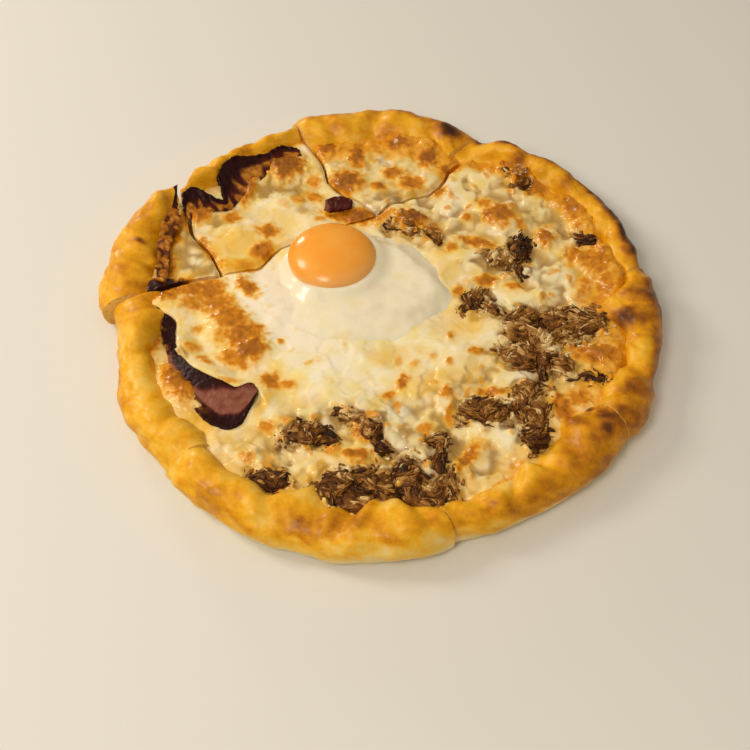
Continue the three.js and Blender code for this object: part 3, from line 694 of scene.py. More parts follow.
def crust_relief(angle, share, u, v, z):
    """How far lumps and creases push the crust out or in."""
    relief = 1.4 * lumps(u, v, 19, 1) + 0.8 * lumps(u, v, 9, 2) + 0.36 * lumps(u, v, 4, 3)
    for degrees, reach, depth, slant in CREASES:
        away = degrees_from(angle - np.radians(slant) * (share - 0.5), degrees)
        relief -= 1.5 * depth * bump(away, 1.2 * reach) * (1 - smooth(0.55, 1.0, share))
        relief += 0.8 * depth * bump(away - 2.4 * reach, 1.5 * reach) * (1 - smooth(0.6, 1.0, share))
    return relief * (smooth(0.3, 3.5, z) * smooth(-0.15, 0.15, share))


def crust_toast(points, angle, share, u, v, rim):
    """How toasted the crust is at each point, with painted shade in it: pale low on the near side, darker on
    the far side.
    """
    x, y, z = points.T
    toast = 0.40 + 0.14 * lumps(u, v, 22, 4) + 0.1 * lumps(u, v, 8, 5) + 0.06 * lumps(u, v, 3.5, 10)
    near_side = smooth(0.2, 0.9, -np.sin(angle))
    low = 1 - smooth(0.5 + near_side, 6.5 + 3.0 * near_side, z + 2.0 * lumps(u, v, 10, 6))
    doughy = 0.15 + 0.34 * near_side * smooth(-0.7, 0.0, lumps(u, v, 16, 12))
    toast -= doughy * smooth(0.6, 1.0, share) * low
    toast -= 0.10 * (1 - smooth(-0.1, 0.3, share)) * (z > BASE_REACHES)
    # Darker on the far side, away from the lamps: partly a browner crust, partly painted shade.
    far_side = smooth(-0.3, 0.8, np.cos(angle - math.radians(10)))
    toast += 0.19 * far_side * smooth(0.3, 0.9, share) * smooth(4, 10, z)
    arc = PIDE_RADIUS * np.radians(1.0)
    for degrees, across, long, wide, strength in TOASTED_AND_SHADED:
        along = degrees_from(angle, degrees) * arc / long
        aside = (share - across) * rim / wide
        ragged = np.hypot(along, aside) + 0.35 * lumps(u, v, 5, 7)
        toast += 0.9 * strength * (1 - smooth(0.1, 1.5, ragged)) * (z > 4)
    band = smooth(0.84, 0.98, -np.sin(angle)) * smooth(0.5, 0.85, share)
    toast -= 0.2 * band * (1 - smooth(12.5, 17.0, z + 4.0 * lumps(u, v, 9, 13)))
    return np.where(z < BASE_REACHES, 0.30 + 0.25 * lumps(x, y, 14, 8) + 0.2 * lumps(x, y, 5, 9), toast)


def shape_crust(points, name):
    """Moves the nominal bread to its uneven form, and gives how toasted each point is."""
    x, y, z = points.T
    angle = np.arctan2(y, x)
    nominal = np.hypot(x, y)
    nominal_inner = PIDE_RADIUS - RIM_WIDTH
    share = (nominal - nominal_inner) / RIM_WIDTH
    squeeze = np.zeros_like(x)
    for distance, cut in from_cuts(x, y, name):
        if cut in RIM_CUT:
            firm = WEST_SQUEEZE if cut == "west" else RIM_CUT[cut][3]
            squeeze = np.maximum(squeeze, firm * bump(np.maximum(distance, 0.0), CUT_REACH))
    inner = inner_radius(angle, name, squeeze)
    outline = outline_radius(angle, name, squeeze)
    radius = np.where(share > 0, inner + share * (outline - inner), nominal / nominal_inner * inner)
    lift = (crest_height(angle, squeeze) - FLOOR_THICKNESS) / (RIM_HEIGHT - FLOOR_THICKNESS)
    height = np.where(z > FLOOR_THICKNESS, FLOOR_THICKNESS + (z - FLOOR_THICKNESS) * lift, z)

    u, v = x + 0.8 * z, y + 1.1 * z
    relief = crust_relief(angle, share, u, v, z)
    out, up = share - 0.45, (z - 8.0) / RIM_WIDTH
    length = np.hypot(out, up) + 1e-6
    radius = radius + relief * out / length
    height = height + relief * up / length

    middle = inner + 0.5 * (outline - inner)
    for distance, cut in from_cuts(x, y, name):
        nose = 0.25 * smooth(0.75, 1.0, RIM_CUT[cut][3] if cut in RIM_CUT and cut != "west" else 0.0)
        nose = nose * bump(np.maximum(distance, 0.0), 6.5) * smooth(-0.1, 0.2, share)
        radius = radius + nose * (middle - radius)
        height = height * (1 - 0.45 * nose)
    shaped = np.stack([radius * np.cos(angle), radius * np.sin(angle), np.maximum(height, 0)], axis=1)
    return shaped, crust_toast(points, angle, share, u, v, PIECES[name][2])


def make_bread():
    """Nine pieces of bread, cut from one bread. Their cut faces show the crumb."""
    whole = spun(rim_profile(), RIM_STEPS, 1e-4)
    crust, crumb = crust_material(), crumb_material()
    for name in PIECES:
        bm = whole.copy()
        trim(bm, name, lambda cut: -2 * ROUGH_MARGIN, 0)
        mesh = mesh_from(bm, f"crust_{name}")
        shaped, toast = shape_crust(read_points(mesh), name)
        write_points(mesh, shaped)
        paint(mesh, toast=toast)
        bm = bmesh.new()
        bm.from_mesh(mesh)
        bpy.data.meshes.remove(mesh)
        trim(bm, name, bread_gap, 1)
        finish_piece(mesh_from(bm, f"crust_{name}"), [crust, crumb], f"bread_{name}")
    whole.free()


def torn(x, y):
    """Sets points aside so that the heaps of meat get torn, uneven outlines."""
    aside_x = 2.6 * lumps(x, y, 9, 84) + 1.2 * lumps(x, y, 4, 88)
    aside_y = 2.6 * lumps(x, y, 9, 85) + 1.2 * lumps(x, y, 4, 89)
    return x + aside_x, y + aside_y


def untorn(x, y):
    """Where a point of a smooth heap comes to lie in its torn one."""
    aside_x, aside_y = torn(x, y)
    return 2 * x - aside_x, 2 * y - aside_y


def from_clumps(x, y):
    """How far each point lies from the nearest clump of meat: as a share of it, and in millimetres."""
    share, reach = np.full_like(x, 9.0), np.full_like(x, 90.0)
    for clumps in CLUMPS.values():
        for at_x, at_y, long, wide, turn, _ in clumps:
            ring = oval_share(x, y, at_x, at_y, long, wide, turn)
            share = np.minimum(share, ring)
            reach = np.minimum(reach, (ring - 1) * math.sqrt(long * wide))
    return share, reach


def line_through(knots, share):
    """Points of a smooth line through the knots, at these shares of the way along it."""
    knots = np.array(knots, dtype=float)
    at = share * (len(knots) - 1)
    first = np.minimum(at.astype(int), len(knots) - 2)
    t = (at - first)[:, None]
    padded = np.concatenate([knots[:1], knots, knots[-1:]])
    before, start, end, after = (padded[first + step] for step in range(4))
    bent = 2 * start + (end - before) * t + (2 * before - 5 * start + 4 * end - after) * t**2
    return 0.5 * (bent + (3 * start - before - 3 * end + after) * t**3)


def beside_line(x, y, knots):
    """How far each point lies to the left of a line through the knots, and how far from it."""
    line = line_through(knots, np.linspace(0, 1, 60))[:, :2]
    along = np.gradient(line, axis=0)
    along /= np.linalg.norm(along, axis=1)[:, None]
    apart = np.hypot(x[:, None] - line[:, 0], y[:, None] - line[:, 1])
    nearest = apart.argmin(axis=1)
    gap_x, gap_y = x - line[nearest, 0], y - line[nearest, 1]
    return along[nearest, 0] * gap_y - along[nearest, 1] * gap_x, apart.min(axis=1)


def cheese_base(x, y):
    """The broad form of the cheese, as in the solids."""
    swell = np.sin(x / 8.5 + 1) * np.cos(y / 10 + 0.4) + 0.6 * np.sin((x + 1.4 * y) / 7 + 2)
    mounds = [high * bump(np.hypot(x - a, y - b), reach) for a, b, reach, high in CHEESE_MOUNDS]
    return CHEESE_TOP + CHEESE_LUMP * swell + np.max(mounds, axis=0)


def wander(x, y):
    """Sets points aside, so that the cuts run bent and unevenly through soft cheese."""
    shift_x, shift_y, total = np.zeros_like(x), np.zeros_like(x), np.zeros_like(x)
    for at_x, at_y, far_x, far_y, reach in BENDS:
        near = bump(np.hypot(x - at_x, y - at_y), reach)
        shift_x += near * far_x
        shift_y += near * far_y
        total += near
    total = np.maximum(total, 1.0)
    uneven_x, uneven_y = 0.8 * lumps(x, y, 12, 81), 0.8 * lumps(x, y, 12, 82)
    return x + shift_x / total + uneven_x, y + shift_y / total + uneven_y


def rim_share(x, y, name):
    """The share of the way across the rim, led over into a piece that the cheese ran together with."""
    angle, radius = np.arctan2(y, x), np.hypot(x, y)

    def across(piece):
        inner = inner_radius(angle, piece)
        return (radius - inner) / (outline_radius(angle, piece) - inner)

    share = across(name)
    for distance, cut in from_cuts(x, y, name):
        if cheese_gap(cut) < CLOSED_GAP and cut in RIM_CUT:
            beside = next(piece for piece in PIECES if piece != name and cut in PIECES[piece][0])
            share += 0.5 * bump(np.maximum(distance, 0.0), 9) * (across(beside) - share)
    return share


def gathered(places, name):
    """The places on a piece's cheese: its own, or those of all the pieces that it ran together with."""
    names = RAN_TOGETHER if name in RAN_TOGETHER else (name,)
    return [place for key in names for place in places.get(key, ())]


def over_meat(x, y, name):
    """1 where the cheese lies on meat, 0 on the middle piece and on the side with the beef."""
    if name not in RAN_TOGETHER:
        return np.full_like(x, 0.8 if name == "north" else 0.0)
    inside = np.min([distance for distance, _ in from_cuts(x, y, "center")], axis=0)
    on_beef = np.min([distance for distance, _ in from_cuts(x, y, "southwest")], axis=0)
    return smooth(0, -20, inside) * smooth(4, -6, on_beef)


def cheese_fields(x, y, name):
    """Height of the melted cheese, and how browned, thin and oily it is there."""
    blisters = gathered(BROWNED_AND_SHADOWED, name)
    # How browned the cheese is, with one painted shadow along a cut on the west piece.
    brown = spots(x, y, blisters, 0.3, 0.6)
    thin = spots(x, y, gathered(THIN, name), 0.35, 0.5)
    oil = spots(x, y, gathered(OILY, name), 0.25, 0.6)
    around = [
        (at_x, at_y, 1.4 * long + 2, 1.4 * wide + 2, turn, strength)
        for at_x, at_y, long, wide, turn, strength in blisters
    ]
    oil = np.maximum(oil, 0.85 * spots(x, y, around, 0.25, 0.8))
    cover = over_meat(x, y, name)
    brown = np.maximum(brown, (0.2 + 0.35 * cover) * smooth(0.4, 0.62, lumps(x, y, 6, 71)))
    thick = smooth(-0.18, 0.16, lumps(x, y, 13, 72) + 0.3 * lumps(x, y, 5, 74))
    thin = np.maximum(thin, 0.95 * cover * (1 - thick))
    height = cheese_base(x, y) + 0.5 * lumps(x, y, 10, 31) + (0.4 + 0.9 * cover) * (thick - 0.5)

    edge, apart = from_clumps(*torn(x, y))
    inside = 1 - smooth(0.7, 0.95, edge)
    thin = np.maximum(thin, 1.5 * (1 - smooth(0.5, 7.5, apart + 3.0 * lumps(x, y, 6, 35))))
    swells = bubbles(x + 2.5 * lumps(x, y, 8, 86), y + 2.5 * lumps(x, y, 8, 87), 7, 33)
    height += 1.3 * bump(edge - 1.08, 0.2) * smooth(-0.2, 0.3, lumps(x, y, 7, 76)) - 2.0 * inside
    height += 4.5 * inside * smooth(0.3, 0.55, lumps(x, y, 6.5, 78))
    rough = 0.35 if name in ("west", "northwest") else 0.85
    height += rough * np.minimum(thin, 1.0) * (1.1 * swells + 0.25 * bubbles(x, y, 3, 38) - 0.6)
    thin = thin * (1.15 - 0.8 * swells)
    height += np.minimum(brown, 1.0) * (0.3 + 0.7 * bubbles(x, y, 4.6, 34) + 0.2 * bubbles(x, y, 2, 36))

    if name == "southwest":
        left, aside = beside_line(x, y, BEEF_EDGES["beef_southwest"][0])
        height += (2.4 * smooth(-0.6, 1.2, left) - 1.2 * smooth(0, -2, left)) * (1 - smooth(2, 11, aside))
    if name == "northwest":
        _, aside = beside_line(x, y, BEEF_EDGES["beef_northwest"][1])
        height += 0.9 * (1 - smooth(1, 4, aside + 1.5 * lumps(x, y, 6, 40)))
    height += spots(x, y, CHEESE_LAPS, 0.2, 0.65)
    height += spots(x, y, CHEESE_CLIMBS, 0.15, 0.5) * smooth(98, 113, np.hypot(x, y))
    share = rim_share(x, y, name)
    sunny = 0.35 + 0.65 * smooth(-0.1, 0.5, np.cos(np.arctan2(y, x) - math.radians(50)))
    golden = sunny * smooth(-0.42, -0.02, share + 0.14 * lumps(x, y, 8, 75) + 0.05 * lumps(x, y, 3, 77))
    oil = np.maximum(oil, 1.3 * golden)
    brown = np.maximum(brown, 0.62 * golden)
    height -= 3.5 * smooth(0.22, 0.5, share)
    if name in RAN_TOGETHER:
        oil = oil - 2.4 * spots(x, y, MILKY, 0.15, 0.8) * (1 - smooth(0.1, 0.5, brown))
    return height, brown, thin, oil


def cut_dip(x, y, name):
    """How far the cheese sinks beside the cuts of its piece."""
    dip = np.zeros_like(x)
    for distance, cut in from_cuts(x, y, name):
        gap = cheese_gap(cut)
        groove = 0.12 + 1.1 * gap if gap > CLOSED_GAP else 0.0
        dip += groove * bump(distance - 0.5 * gap, 0.5 + 0.5 * gap)
    return dip


def make_cheese():
    """The cheese on each piece: a fine sheet with its blisters, and walls down to the bread."""
    cheese = cheese_material()
    for name in PIECES:
        corners = np.array([corner for corner, _ in piece_corners(name)])
        low = np.maximum(corners.min(axis=0), -CHEESE_RADIUS)
        high = np.minimum(corners.max(axis=0), CHEESE_RADIUS)
        cells = np.ceil((high - low) / CHEESE_GRID).astype(int).tolist()
        spread = Matrix.Translation((*(0.5 * (low + high)), 0)) @ Matrix.Diagonal((*(high - low), 1, 1))
        bm = bmesh.new()
        bmesh.ops.create_grid(bm, x_segments=cells[0], y_segments=cells[1], size=0.5, matrix=spread)
        trim(bm, name, cheese_gap, None)
        x, y, _ = np.array([v.co for v in bm.verts]).T
        angle = np.arctan2(y, x)
        inner, outline = inner_radius(angle, name), outline_radius(angle, name)
        limit = np.minimum(CHEESE_RADIUS, inner + CHEESE_REACHES * (outline - inner))
        outside = [v for v, beyond in zip(bm.verts, np.hypot(x, y) > limit) if beyond]
        bmesh.ops.delete(bm, geom=outside, context="VERTS")
        rim = [edge for edge in bm.edges if edge.is_boundary]
        for edge in rim:
            edge.smooth = False
        wall = bmesh.ops.extrude_edge_only(bm, edges=rim)["geom"]
        foot = [v for v in wall if isinstance(v, bmesh.types.BMVert)]
        bmesh.ops.translate(bm, verts=foot, vec=(0, 0, -1))
        bmesh.ops.holes_fill(bm, edges=[edge for edge in bm.edges if edge.is_boundary])
        bmesh.ops.recalc_face_normals(bm, faces=bm.faces)
        mesh = mesh_from(bm, f"melted_cheese_{name}")
        points = read_points(mesh)
        dip = cut_dip(points[:, 0], points[:, 1], name)
        points[:, 0], points[:, 1] = wander(points[:, 0], points[:, 1])
        height, brown, thin, oil = cheese_fields(points[:, 0], points[:, 1], name)
        points[:, 2] = np.where(points[:, 2] < -0.5, CHEESE_SKIRT, height - dip)
        write_points(mesh, points)
        paint(mesh, brown=brown, thin=thin, oil=oil)
        finish_piece(mesh, [cheese], f"cheese_{name}")


def turned(points, angle, first, second):
    """Points of many chunks, each turned by its own angle in the plane of two numbered axes."""
    cos, sin = np.cos(angle)[:, None], np.sin(angle)[:, None]
    out = points.copy()
    out[..., first] = cos * points[..., first] - sin * points[..., second]
    out[..., second] = sin * points[..., first] + cos * points[..., second]
    return out


def rod_shape(around, along):
    """The points and faces of a plain blunt rod along the X axis."""
    bm = bmesh.new()
    lying = Matrix.Rotation(0.5 * math.pi, 4, "Y")
    bmesh.ops.create_uvsphere(bm, u_segments=around, v_segments=along, radius=1, matrix=lying)
    mesh = mesh_from(bm, "rod")
    points, faces = read_points(mesh), [tuple(face.vertices) for face in mesh.polygons]
    bpy.data.meshes.remove(mesh)
    thick = np.maximum(np.hypot(points[:, 1], points[:, 2]), 1e-6)
    points[:, 1:] *= (thick**-0.4)[:, None]
    return points, faces


def lay_meat(rod, draw, places, grain, pitch, length, width):
    """Bits of meat at these places, ridged along their grain, and where on its bit each point lies."""
    count = len(places)
    half = np.stack([length, width, width * draw.uniform(0.55, 0.85, count)], axis=1)
    u = np.arctan2(rod[:, 1], rod[:, 2])[None] + draw.uniform(-900, 900, (count, 1))
    v = rod[:, 0][None] + draw.uniform(-900, 900, (count, 1))
    ridge = 0.34 * lumps(1.3 * u, 1.5 * v, 1, 44) + 0.2 * lumps(2.9 * u, 1.7 * v, 1, 48)
    points = rod[None] * half[:, None] * (1 + ridge)[..., None]
    along = points / np.array(FIBRE) + draw.uniform(-90, 90, (count, 1, 3))
    points[..., 1] += draw.normal(0, 0.05, count)[:, None] * points[..., 0] ** 2
    points[..., 2] -= np.abs(draw.normal(0, 0.05, count))[:, None] * points[..., 0] ** 2
    points = turned(points, pitch, 0, 2)
    points = turned(points, grain, 0, 1)
    return points + places[:, None], along, ridge


def meat_swell(x, y):
    """The lumps of a heap of meat."""
    return 0.9 * lumps(x, y, 5.5, 42) + 0.5 * lumps(x, y, 2.6, 43)


def add_mass(bm, clump, base, rise):
    """Adds the core of a clump that stands on this level, and gives how many points the core has."""
    at_x, at_y, long, wide, degrees, _ = clump
    core = Matrix.Translation((at_x, at_y, base - 1.0)) @ Matrix.Rotation(math.radians(degrees), 4, "Z")
    core = core @ Matrix.Diagonal((0.95 * long, 0.95 * wide, 0.75 * rise, 1))
    mass = bmesh.ops.create_uvsphere(bm, u_segments=56, v_segments=28, radius=1, matrix=core)
    return len(mass["verts"])


def scatter(draw, clump, base, rise, lobes, count, inner, outer):
    """Places for bits on a clump, between two shares of its area, with each bit's grain and pitch."""
    at_x, at_y, long, wide, degrees, _ = clump
    turn = math.radians(degrees)
    ring = np.sqrt(draw.uniform(inner, outer, count))
    spin = draw.uniform(0, 2 * np.pi, count)
    ring *= 1 + 0.14 * np.sin(2 * spin + lobes[0]) + 0.14 * np.sin(3 * spin + lobes[1])
    along, aside = ring * long * np.cos(spin), ring * wide * np.sin(spin)
    x = at_x + along * math.cos(turn) - aside * math.sin(turn)
    y = at_y + along * math.sin(turn) + aside * math.cos(turn)
    dome = np.sqrt(np.maximum(0, 1 - ring * ring))
    z = base - 0.9 + 0.75 * rise * dome + meat_swell(x, y) * dome + draw.uniform(-0.3, 0.5, count)
    cheese_under = cheese_fields(*untorn(x, y), "south")[0]
    z = np.maximum(z, cheese_under + draw.uniform(-0.75, 0.05, count))
    grain = turn + 1.3 * lumps(x, y, 14, 41) + draw.normal(0, 0.3, count)
    return np.stack([x, y, z], axis=1), grain, draw.normal(0, 0.25, count)


def bits_on(draw, clump, base, rise, shapes):
    """The flakes, strands and crumbs on a clump: each kind's points, places on the bit, and shades."""
    _, _, long, wide, _, tone = clump
    lobes = draw.uniform(0, 2 * np.pi, 2)
    bits = {}

    def lay(kind, places, grain, pitch, length, width, light):
        points, place_on, ridge = lay_meat(shapes[kind][0], draw, places, grain, pitch, length, width)
        # Lighter on the ridges of each bit and darker in its grooves: painted light and shade along the
        # fibres.
        shade = light[:, None] + 0.7 * ridge
        # Darker low in the heap and lighter on its top: painted shade.
        shade += 0.4 * np.clip((points[..., 2] - base) / rise - 0.45, -0.5, 0.3)
        bits[kind] = (points, place_on, shade)

    count = max(4, round(math.pi * long * wide / FLAKE_AREA))
    places, grain, pitch = scatter(draw, clump, base, rise, lobes, count, 0.0, 1.1)
    small = draw.random(count) < 0.5
    length = draw.uniform(*FLAKE[0], count) * np.where(small, 0.6, 1.0)
    width = draw.uniform(*FLAKE[1], count) * np.where(small, 0.75, 1.0)
    light = tone + draw.normal(0, 0.17, count) + 0.4 * lumps(places[:, 0], places[:, 1], 7, 49)
    lay("flake", places, grain, pitch, length, width, light)

    over = draw.uniform(0, math.pi, count)
    shift = draw.normal(0, 0.4, count) * length
    aside = 0.9 * width * np.cos(over)
    strand_turn = grain + draw.normal(0, 0.3, count)
    strand_places = places + np.stack([
        shift * np.cos(strand_turn) - aside * np.sin(strand_turn),
        shift * np.sin(strand_turn) + aside * np.cos(strand_turn),
        0.6 * width * np.sin(over),
    ], axis=1)
    strand_sizes = draw.uniform(*STRAND[0], count), draw.uniform(*STRAND[1], count)
    strand_light = light + draw.normal(0.05, 0.1, count)
    lay("strand", strand_places, strand_turn, pitch, *strand_sizes, strand_light)

    crumbs = round(CRUMB_SHARE * count)
    crumb_sizes = draw.uniform(*CRUMB[0], crumbs), draw.uniform(*CRUMB[1], crumbs)
    crumb_light = tone + draw.normal(0.34, 0.15, crumbs) + 0.6 * (draw.random(crumbs) < 0.06)
    crumb_places = scatter(draw, clump, base, rise, lobes, crumbs, 0.6, 2.1)
    lay("crumb", *crumb_places, *crumb_sizes, crumb_light)
    return bits


def join_heap(mesh, turns, tones, laid, shapes):
    """Joins the cores of a heap, which the mesh holds, with all the bits that lie on them."""
    x, y, z = read_points(mesh).T
    faces = [tuple(face.vertices) for face in mesh.polygons]
    mesh.clear_geometry()
    lumpy = meat_swell(x, y)
    along, aside = x * np.cos(turns) + y * np.sin(turns), y * np.cos(turns) - x * np.sin(turns)
    places = [np.stack([x, y, z + lumpy * smooth(10, 13, z)], axis=1)]
    grains = [np.stack([along / FIBRE[0], aside / FIBRE[1], z / FIBRE[2]], axis=1)]
    # Lighter on the lumps of the cores and darker between them: painted shade, with each clump's tone.
    shades = [tones - 0.06 + 0.25 * lumpy]
    for kind, (rod, rod_faces) in shapes.items():
        points, place_on, shade = (np.concatenate(group) for group in zip(*(bits[kind] for bits in laid)))
        first = sum(len(group) for group in places)
        for start in first + len(rod) * np.arange(len(points)):
            faces += [tuple(start + corner for corner in face) for face in rod_faces]
        places.append(points.reshape(-1, 3))
        grains.append(place_on.reshape(-1, 3))
        shades.append(shade.ravel())
    places = np.concatenate(places)
    places[:, 0], places[:, 1] = untorn(places[:, 0], places[:, 1])
    mesh.from_pydata(places.tolist(), [], faces)
    paint(mesh, shade=np.concatenate(shades))
    layer = mesh.attributes.new("grain", "FLOAT_VECTOR", "POINT")
    layer.data.foreach_set("vector", np.concatenate(grains).astype(np.float32).ravel())


def make_meat():
    """Each heap as a lumpy mass of pulled meat with flakes, torn strands and crumbs on it."""
    meat = meat_material()
    draw = np.random.default_rng(MEAT_SEED)
    shapes = {"flake": rod_shape(10, 6), "strand": rod_shape(6, 4), "crumb": rod_shape(6, 5)}
    for name, clumps in CLUMPS.items():
        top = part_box(name)[1][2] / MM
        bm = bmesh.new()
        turns, tones, laid = [], [], []
        for clump in clumps:
            at_x, at_y, long, wide, degrees, tone = clump
            base = float(cheese_base(np.array([at_x]), np.array([at_y]))[0])
            rise = max(CLUMP_RISE[0], min(top - base, 0.42 * (long + wide), CLUMP_RISE[1]))
            count = add_mass(bm, clump, base, rise)
            turns += [math.radians(degrees)] * count
            tones += [tone] * count
            laid.append(bits_on(draw, clump, base, rise, shapes))
        mesh = mesh_from(bm, f"braised_{name}")
        join_heap(mesh, np.array(turns), np.array(tones), laid, shapes)
        finish_piece(mesh, [meat], name)


def beef_char(name, share, down):
    """How charred a slice is, by the share along it and the share down from its raised edge; on the southwest
    slice also painted shade.
    """
    if name == "beef_southwest":
        start = 1 - smooth(0.27, 0.4, share)
        reach = 0.75 - 0.62 * smooth(0.5, 0.78, share)
        # The dark fold under the raised edge is charring and painted shade in the fold.
        fold = 0.85 * (1 - smooth(reach - 0.3, reach + 0.05, down))
        # The dark hem along the lower edge is charring and a painted shadow under the slice.
        hem = 0.95 * smooth(0.62, 0.8, down) * smooth(0.5, 0.7, share)
        return np.max([start, fold, hem], axis=0)
    if name == "beef_northwest":
        return 0.45 + 0.55 * (1 - smooth(0.3, 0.6, down + 0.3 * smooth(0.7, 0.8, share)))
    if name == "beef_west":
        return 0.75 - 0.35 * smooth(0.12, 0.3, share)
    return 0.45 - 0.4 * smooth(0.3, 0.05, share)


def beef_glaze(name, share, down, x, y):
    """How much browned cheese and fat lies on a slice, from 0 to 1."""
    patches = smooth(-0.15, 0.25, lumps(x, y, 4, 59))
    if name == "beef_west":
        return smooth(0.16, 0.3, share) * (0.12 + 0.78 * patches)
    if name == "beef_northwest":
        return 0.9 * smooth(0.35, 0.6, down) * smooth(-0.25, 0.2, lumps(90 * share, 7 * down, 5.5, 54))
    if name == "beef_southwest":
        return 0.5 * smooth(0.55, 0.9, down) * smooth(0.75, 0.6, share) * patches
    return np.zeros_like(share)


def make_beef():
    """Thin slices of cured beef, wavy, with knobbly edges that charred in the oven."""
    beef = beef_material()
    for name, (raised, lying) in BEEF_EDGES.items():
        bm = bmesh.new()
        bmesh.ops.create_grid(bm, x_segments=BEEF_GRID[0], y_segments=BEEF_GRID[1], size=0.5)
        mesh = mesh_from(bm, f"sliced_{name}")
        share, down, _ = read_points(mesh).T + 0.5
        top, foot = line_through(raised, share), line_through(lying, share)
        edge = top[:, :2] + (foot - top)[:, :2] * down[:, None]
        frill = bump(down, 0.3) * (1.0 if name == "beef_northwest" else 0.3)
        x = edge[:, 0] + frill * (0.6 * lumps(*edge.T, 4, 52) + 0.35 * lumps(*edge.T, 1.7, 45))
        y = edge[:, 1] + frill * (0.6 * lumps(*edge.T, 4, 55) + 0.35 * lumps(*edge.T, 1.7, 46))
        lift = foot[:, 2] + (top - foot)[:, 2] * (1 - down) ** 1.5
        wave = 0.5 * lumps(x, y, 8, 51) + 0.35 * lumps(x, y, 3, 56) + 0.3 * lumps(x, y, 1.6, 58)
        wave += 0.4 * frill * lumps(x, y, 2.2, 47)
        if name == "beef_southwest":
            wave *= 0.45
        if name == "beef_northwest_tip":
            lift += 0.6 * np.sin(np.pi * down) * np.sin(np.pi * share)
        glaze = beef_glaze(name, share, down, x, y)
        if name == "beef_west":
            wave += 0.8 * lumps(x, y, 5.5, 57) * smooth(0.1, 0.3, share)
        write_points(mesh, np.stack([x, y, cheese_base(x, y) + lift + wave + 0.5 * glaze], axis=1))
        # How charred each point is, with painted shade and shadow on the southwest slice.
        char = np.clip(beef_char(name, share, down) + 0.2 * lumps(x, y, 4, 53), 0, 1)
        paint(mesh, char=char, glaze=glaze)
        piece = finish_piece(mesh, [beef], name)
        wall = piece.modifiers.new("slice", "SOLIDIFY")
        wall.thickness = BEEF_THICKNESS[name] * MM
        wall.offset = 1.0


def white_radius(angle):
    broad = 2.5 * np.cos(angle - 1.6) + 1.6 * np.cos(2 * angle) + 3.5 * bump(angle - 0.45, 0.5)
    broad = broad + 4.0 * bump(angle - 1.05, 0.22)
    return WHITE_RADIUS + broad + 1.8 * np.cos(3 * angle + 0.4) + np.cos(5 * angle + 1)


def yolk_corners():
    """The lowest and the highest corner of the yolk's solid."""
    low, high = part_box("egg_yolk")
    return np.array(low) / MM, np.array(high) / MM


def make_white():
    """A set white that thins out over the cheese and is drawn up round the yolk."""
    low, high = yolk_corners()
    yolk, yolk_half = 0.5 * (low + high), 0.5 * (high - low)
    section = [(ring / WHITE_RINGS, 1) for ring in range(WHITE_RINGS + 1)]
    section += [(share, -1) for share in (1.0, 0.5, 0.0)]
    mesh = mesh_from(spun(section, WHITE_STEPS, 1e-5), "set_white")
    points = read_points(mesh)
    share = np.hypot(points[:, 0], points[:, 1])
    angle = np.arctan2(points[:, 1], points[:, 0])
    x = WHITE_AT[0] + share * white_radius(angle) * np.cos(angle)
    y = WHITE_AT[1] + share * white_radius(angle) * np.sin(angle)
    under = cheese_fields(x, y, "center")[0]
    ragged = share + 0.07 * lumps(x, y, 14, 60) + 0.02 * lumps(x, y, 5, 64)
    crisp = smooth(-0.2, 0.8, np.cos(angle - 0.5))
    thick = WHITE_RISE * (1 - smooth(0.3 + 0.35 * crisp, 1.0, ragged))
    thick *= 1 + 0.10 * lumps(x, y, 17, 61) + 0.04 * lumps(x, y, 8, 62)
    from_yolk = np.hypot(x - yolk[0], y - yolk[1]) - yolk_half[0]
    thick += 3.0 * bump(from_yolk, 4.5)
    from_edge = np.min([distance for distance, _ in from_cuts(x, y, "center")], axis=0)
    thick *= 0.3 + 0.7 * smooth(0, 8, from_edge)
    level = CHEESE_TOP + 0.15 * (under - CHEESE_TOP) + 1.0
    blend = smooth(0.6, 0.95, ragged)
    top = (1 - blend) * (level + thick) + blend * (cheese_base(x, y) - 0.8 + thick)
    write_points(mesh, np.stack([x, y, np.where(points[:, 2] < 0, CHEESE_SKIRT, top)], axis=1))
    bm = bmesh.new()
    bm.from_mesh(mesh)
    bpy.data.meshes.remove(mesh)
    trim(bm, "center", cheese_gap, 0)
    mesh = mesh_from(bm, "set_white")
    points = read_points(mesh)
    points[:, 0], points[:, 1] = wander(points[:, 0], points[:, 1])
    write_points(mesh, points)
    finish_piece(mesh, [white_material()], "egg_white")


def make_yolk():
    """A soft yolk that sits in the white, with a film that thickens towards its near edge."""
    low, high = yolk_corners()
    yolk, yolk_half = 0.5 * (low + high), 0.5 * (high - low)
    bm = bmesh.new()
    bmesh.ops.create_uvsphere(bm, u_segments=160, v_segments=80, radius=1)
    mesh = mesh_from(bm, "soft_yolk")
    x, y, z = read_points(mesh).T
    seat = low[2] + YOLK_SEAT
    height = np.where(z > 0, (high[2] - seat) * z, (seat - low[2]) * z)
    film = smooth(-0.45, 0.75, 0.55 * x - 0.8 * y - 2.2 * (z - 0.25)) * (z > -0.2)
    wobble = 1 + 0.012 * lumps(9 * x, 9 * y, 6, 63)
    x, y = yolk[0] + yolk_half[0] * x * wobble, yolk[1] + yolk_half[1] * y * wobble
    write_points(mesh, np.stack([x, y, seat + height], axis=1))
    paint(mesh, film=film)
    finish_piece(mesh, [yolk_material()], "egg_yolk")


def colour(code):
    """A linear colour from an sRGB hex code."""
    parts = [int(code[i : i + 2], 16) / 255 for i in (0, 2, 4)]
    linear = [c / 12.92 if c <= 0.04045 else ((c + 0.055) / 1.055) ** 2.4 for c in parts]
    return (*linear, 1.0)


def per(size):
    """The scale of a pattern whose marks are about that many millimetres across."""
    return 1.0 / (size * MM)


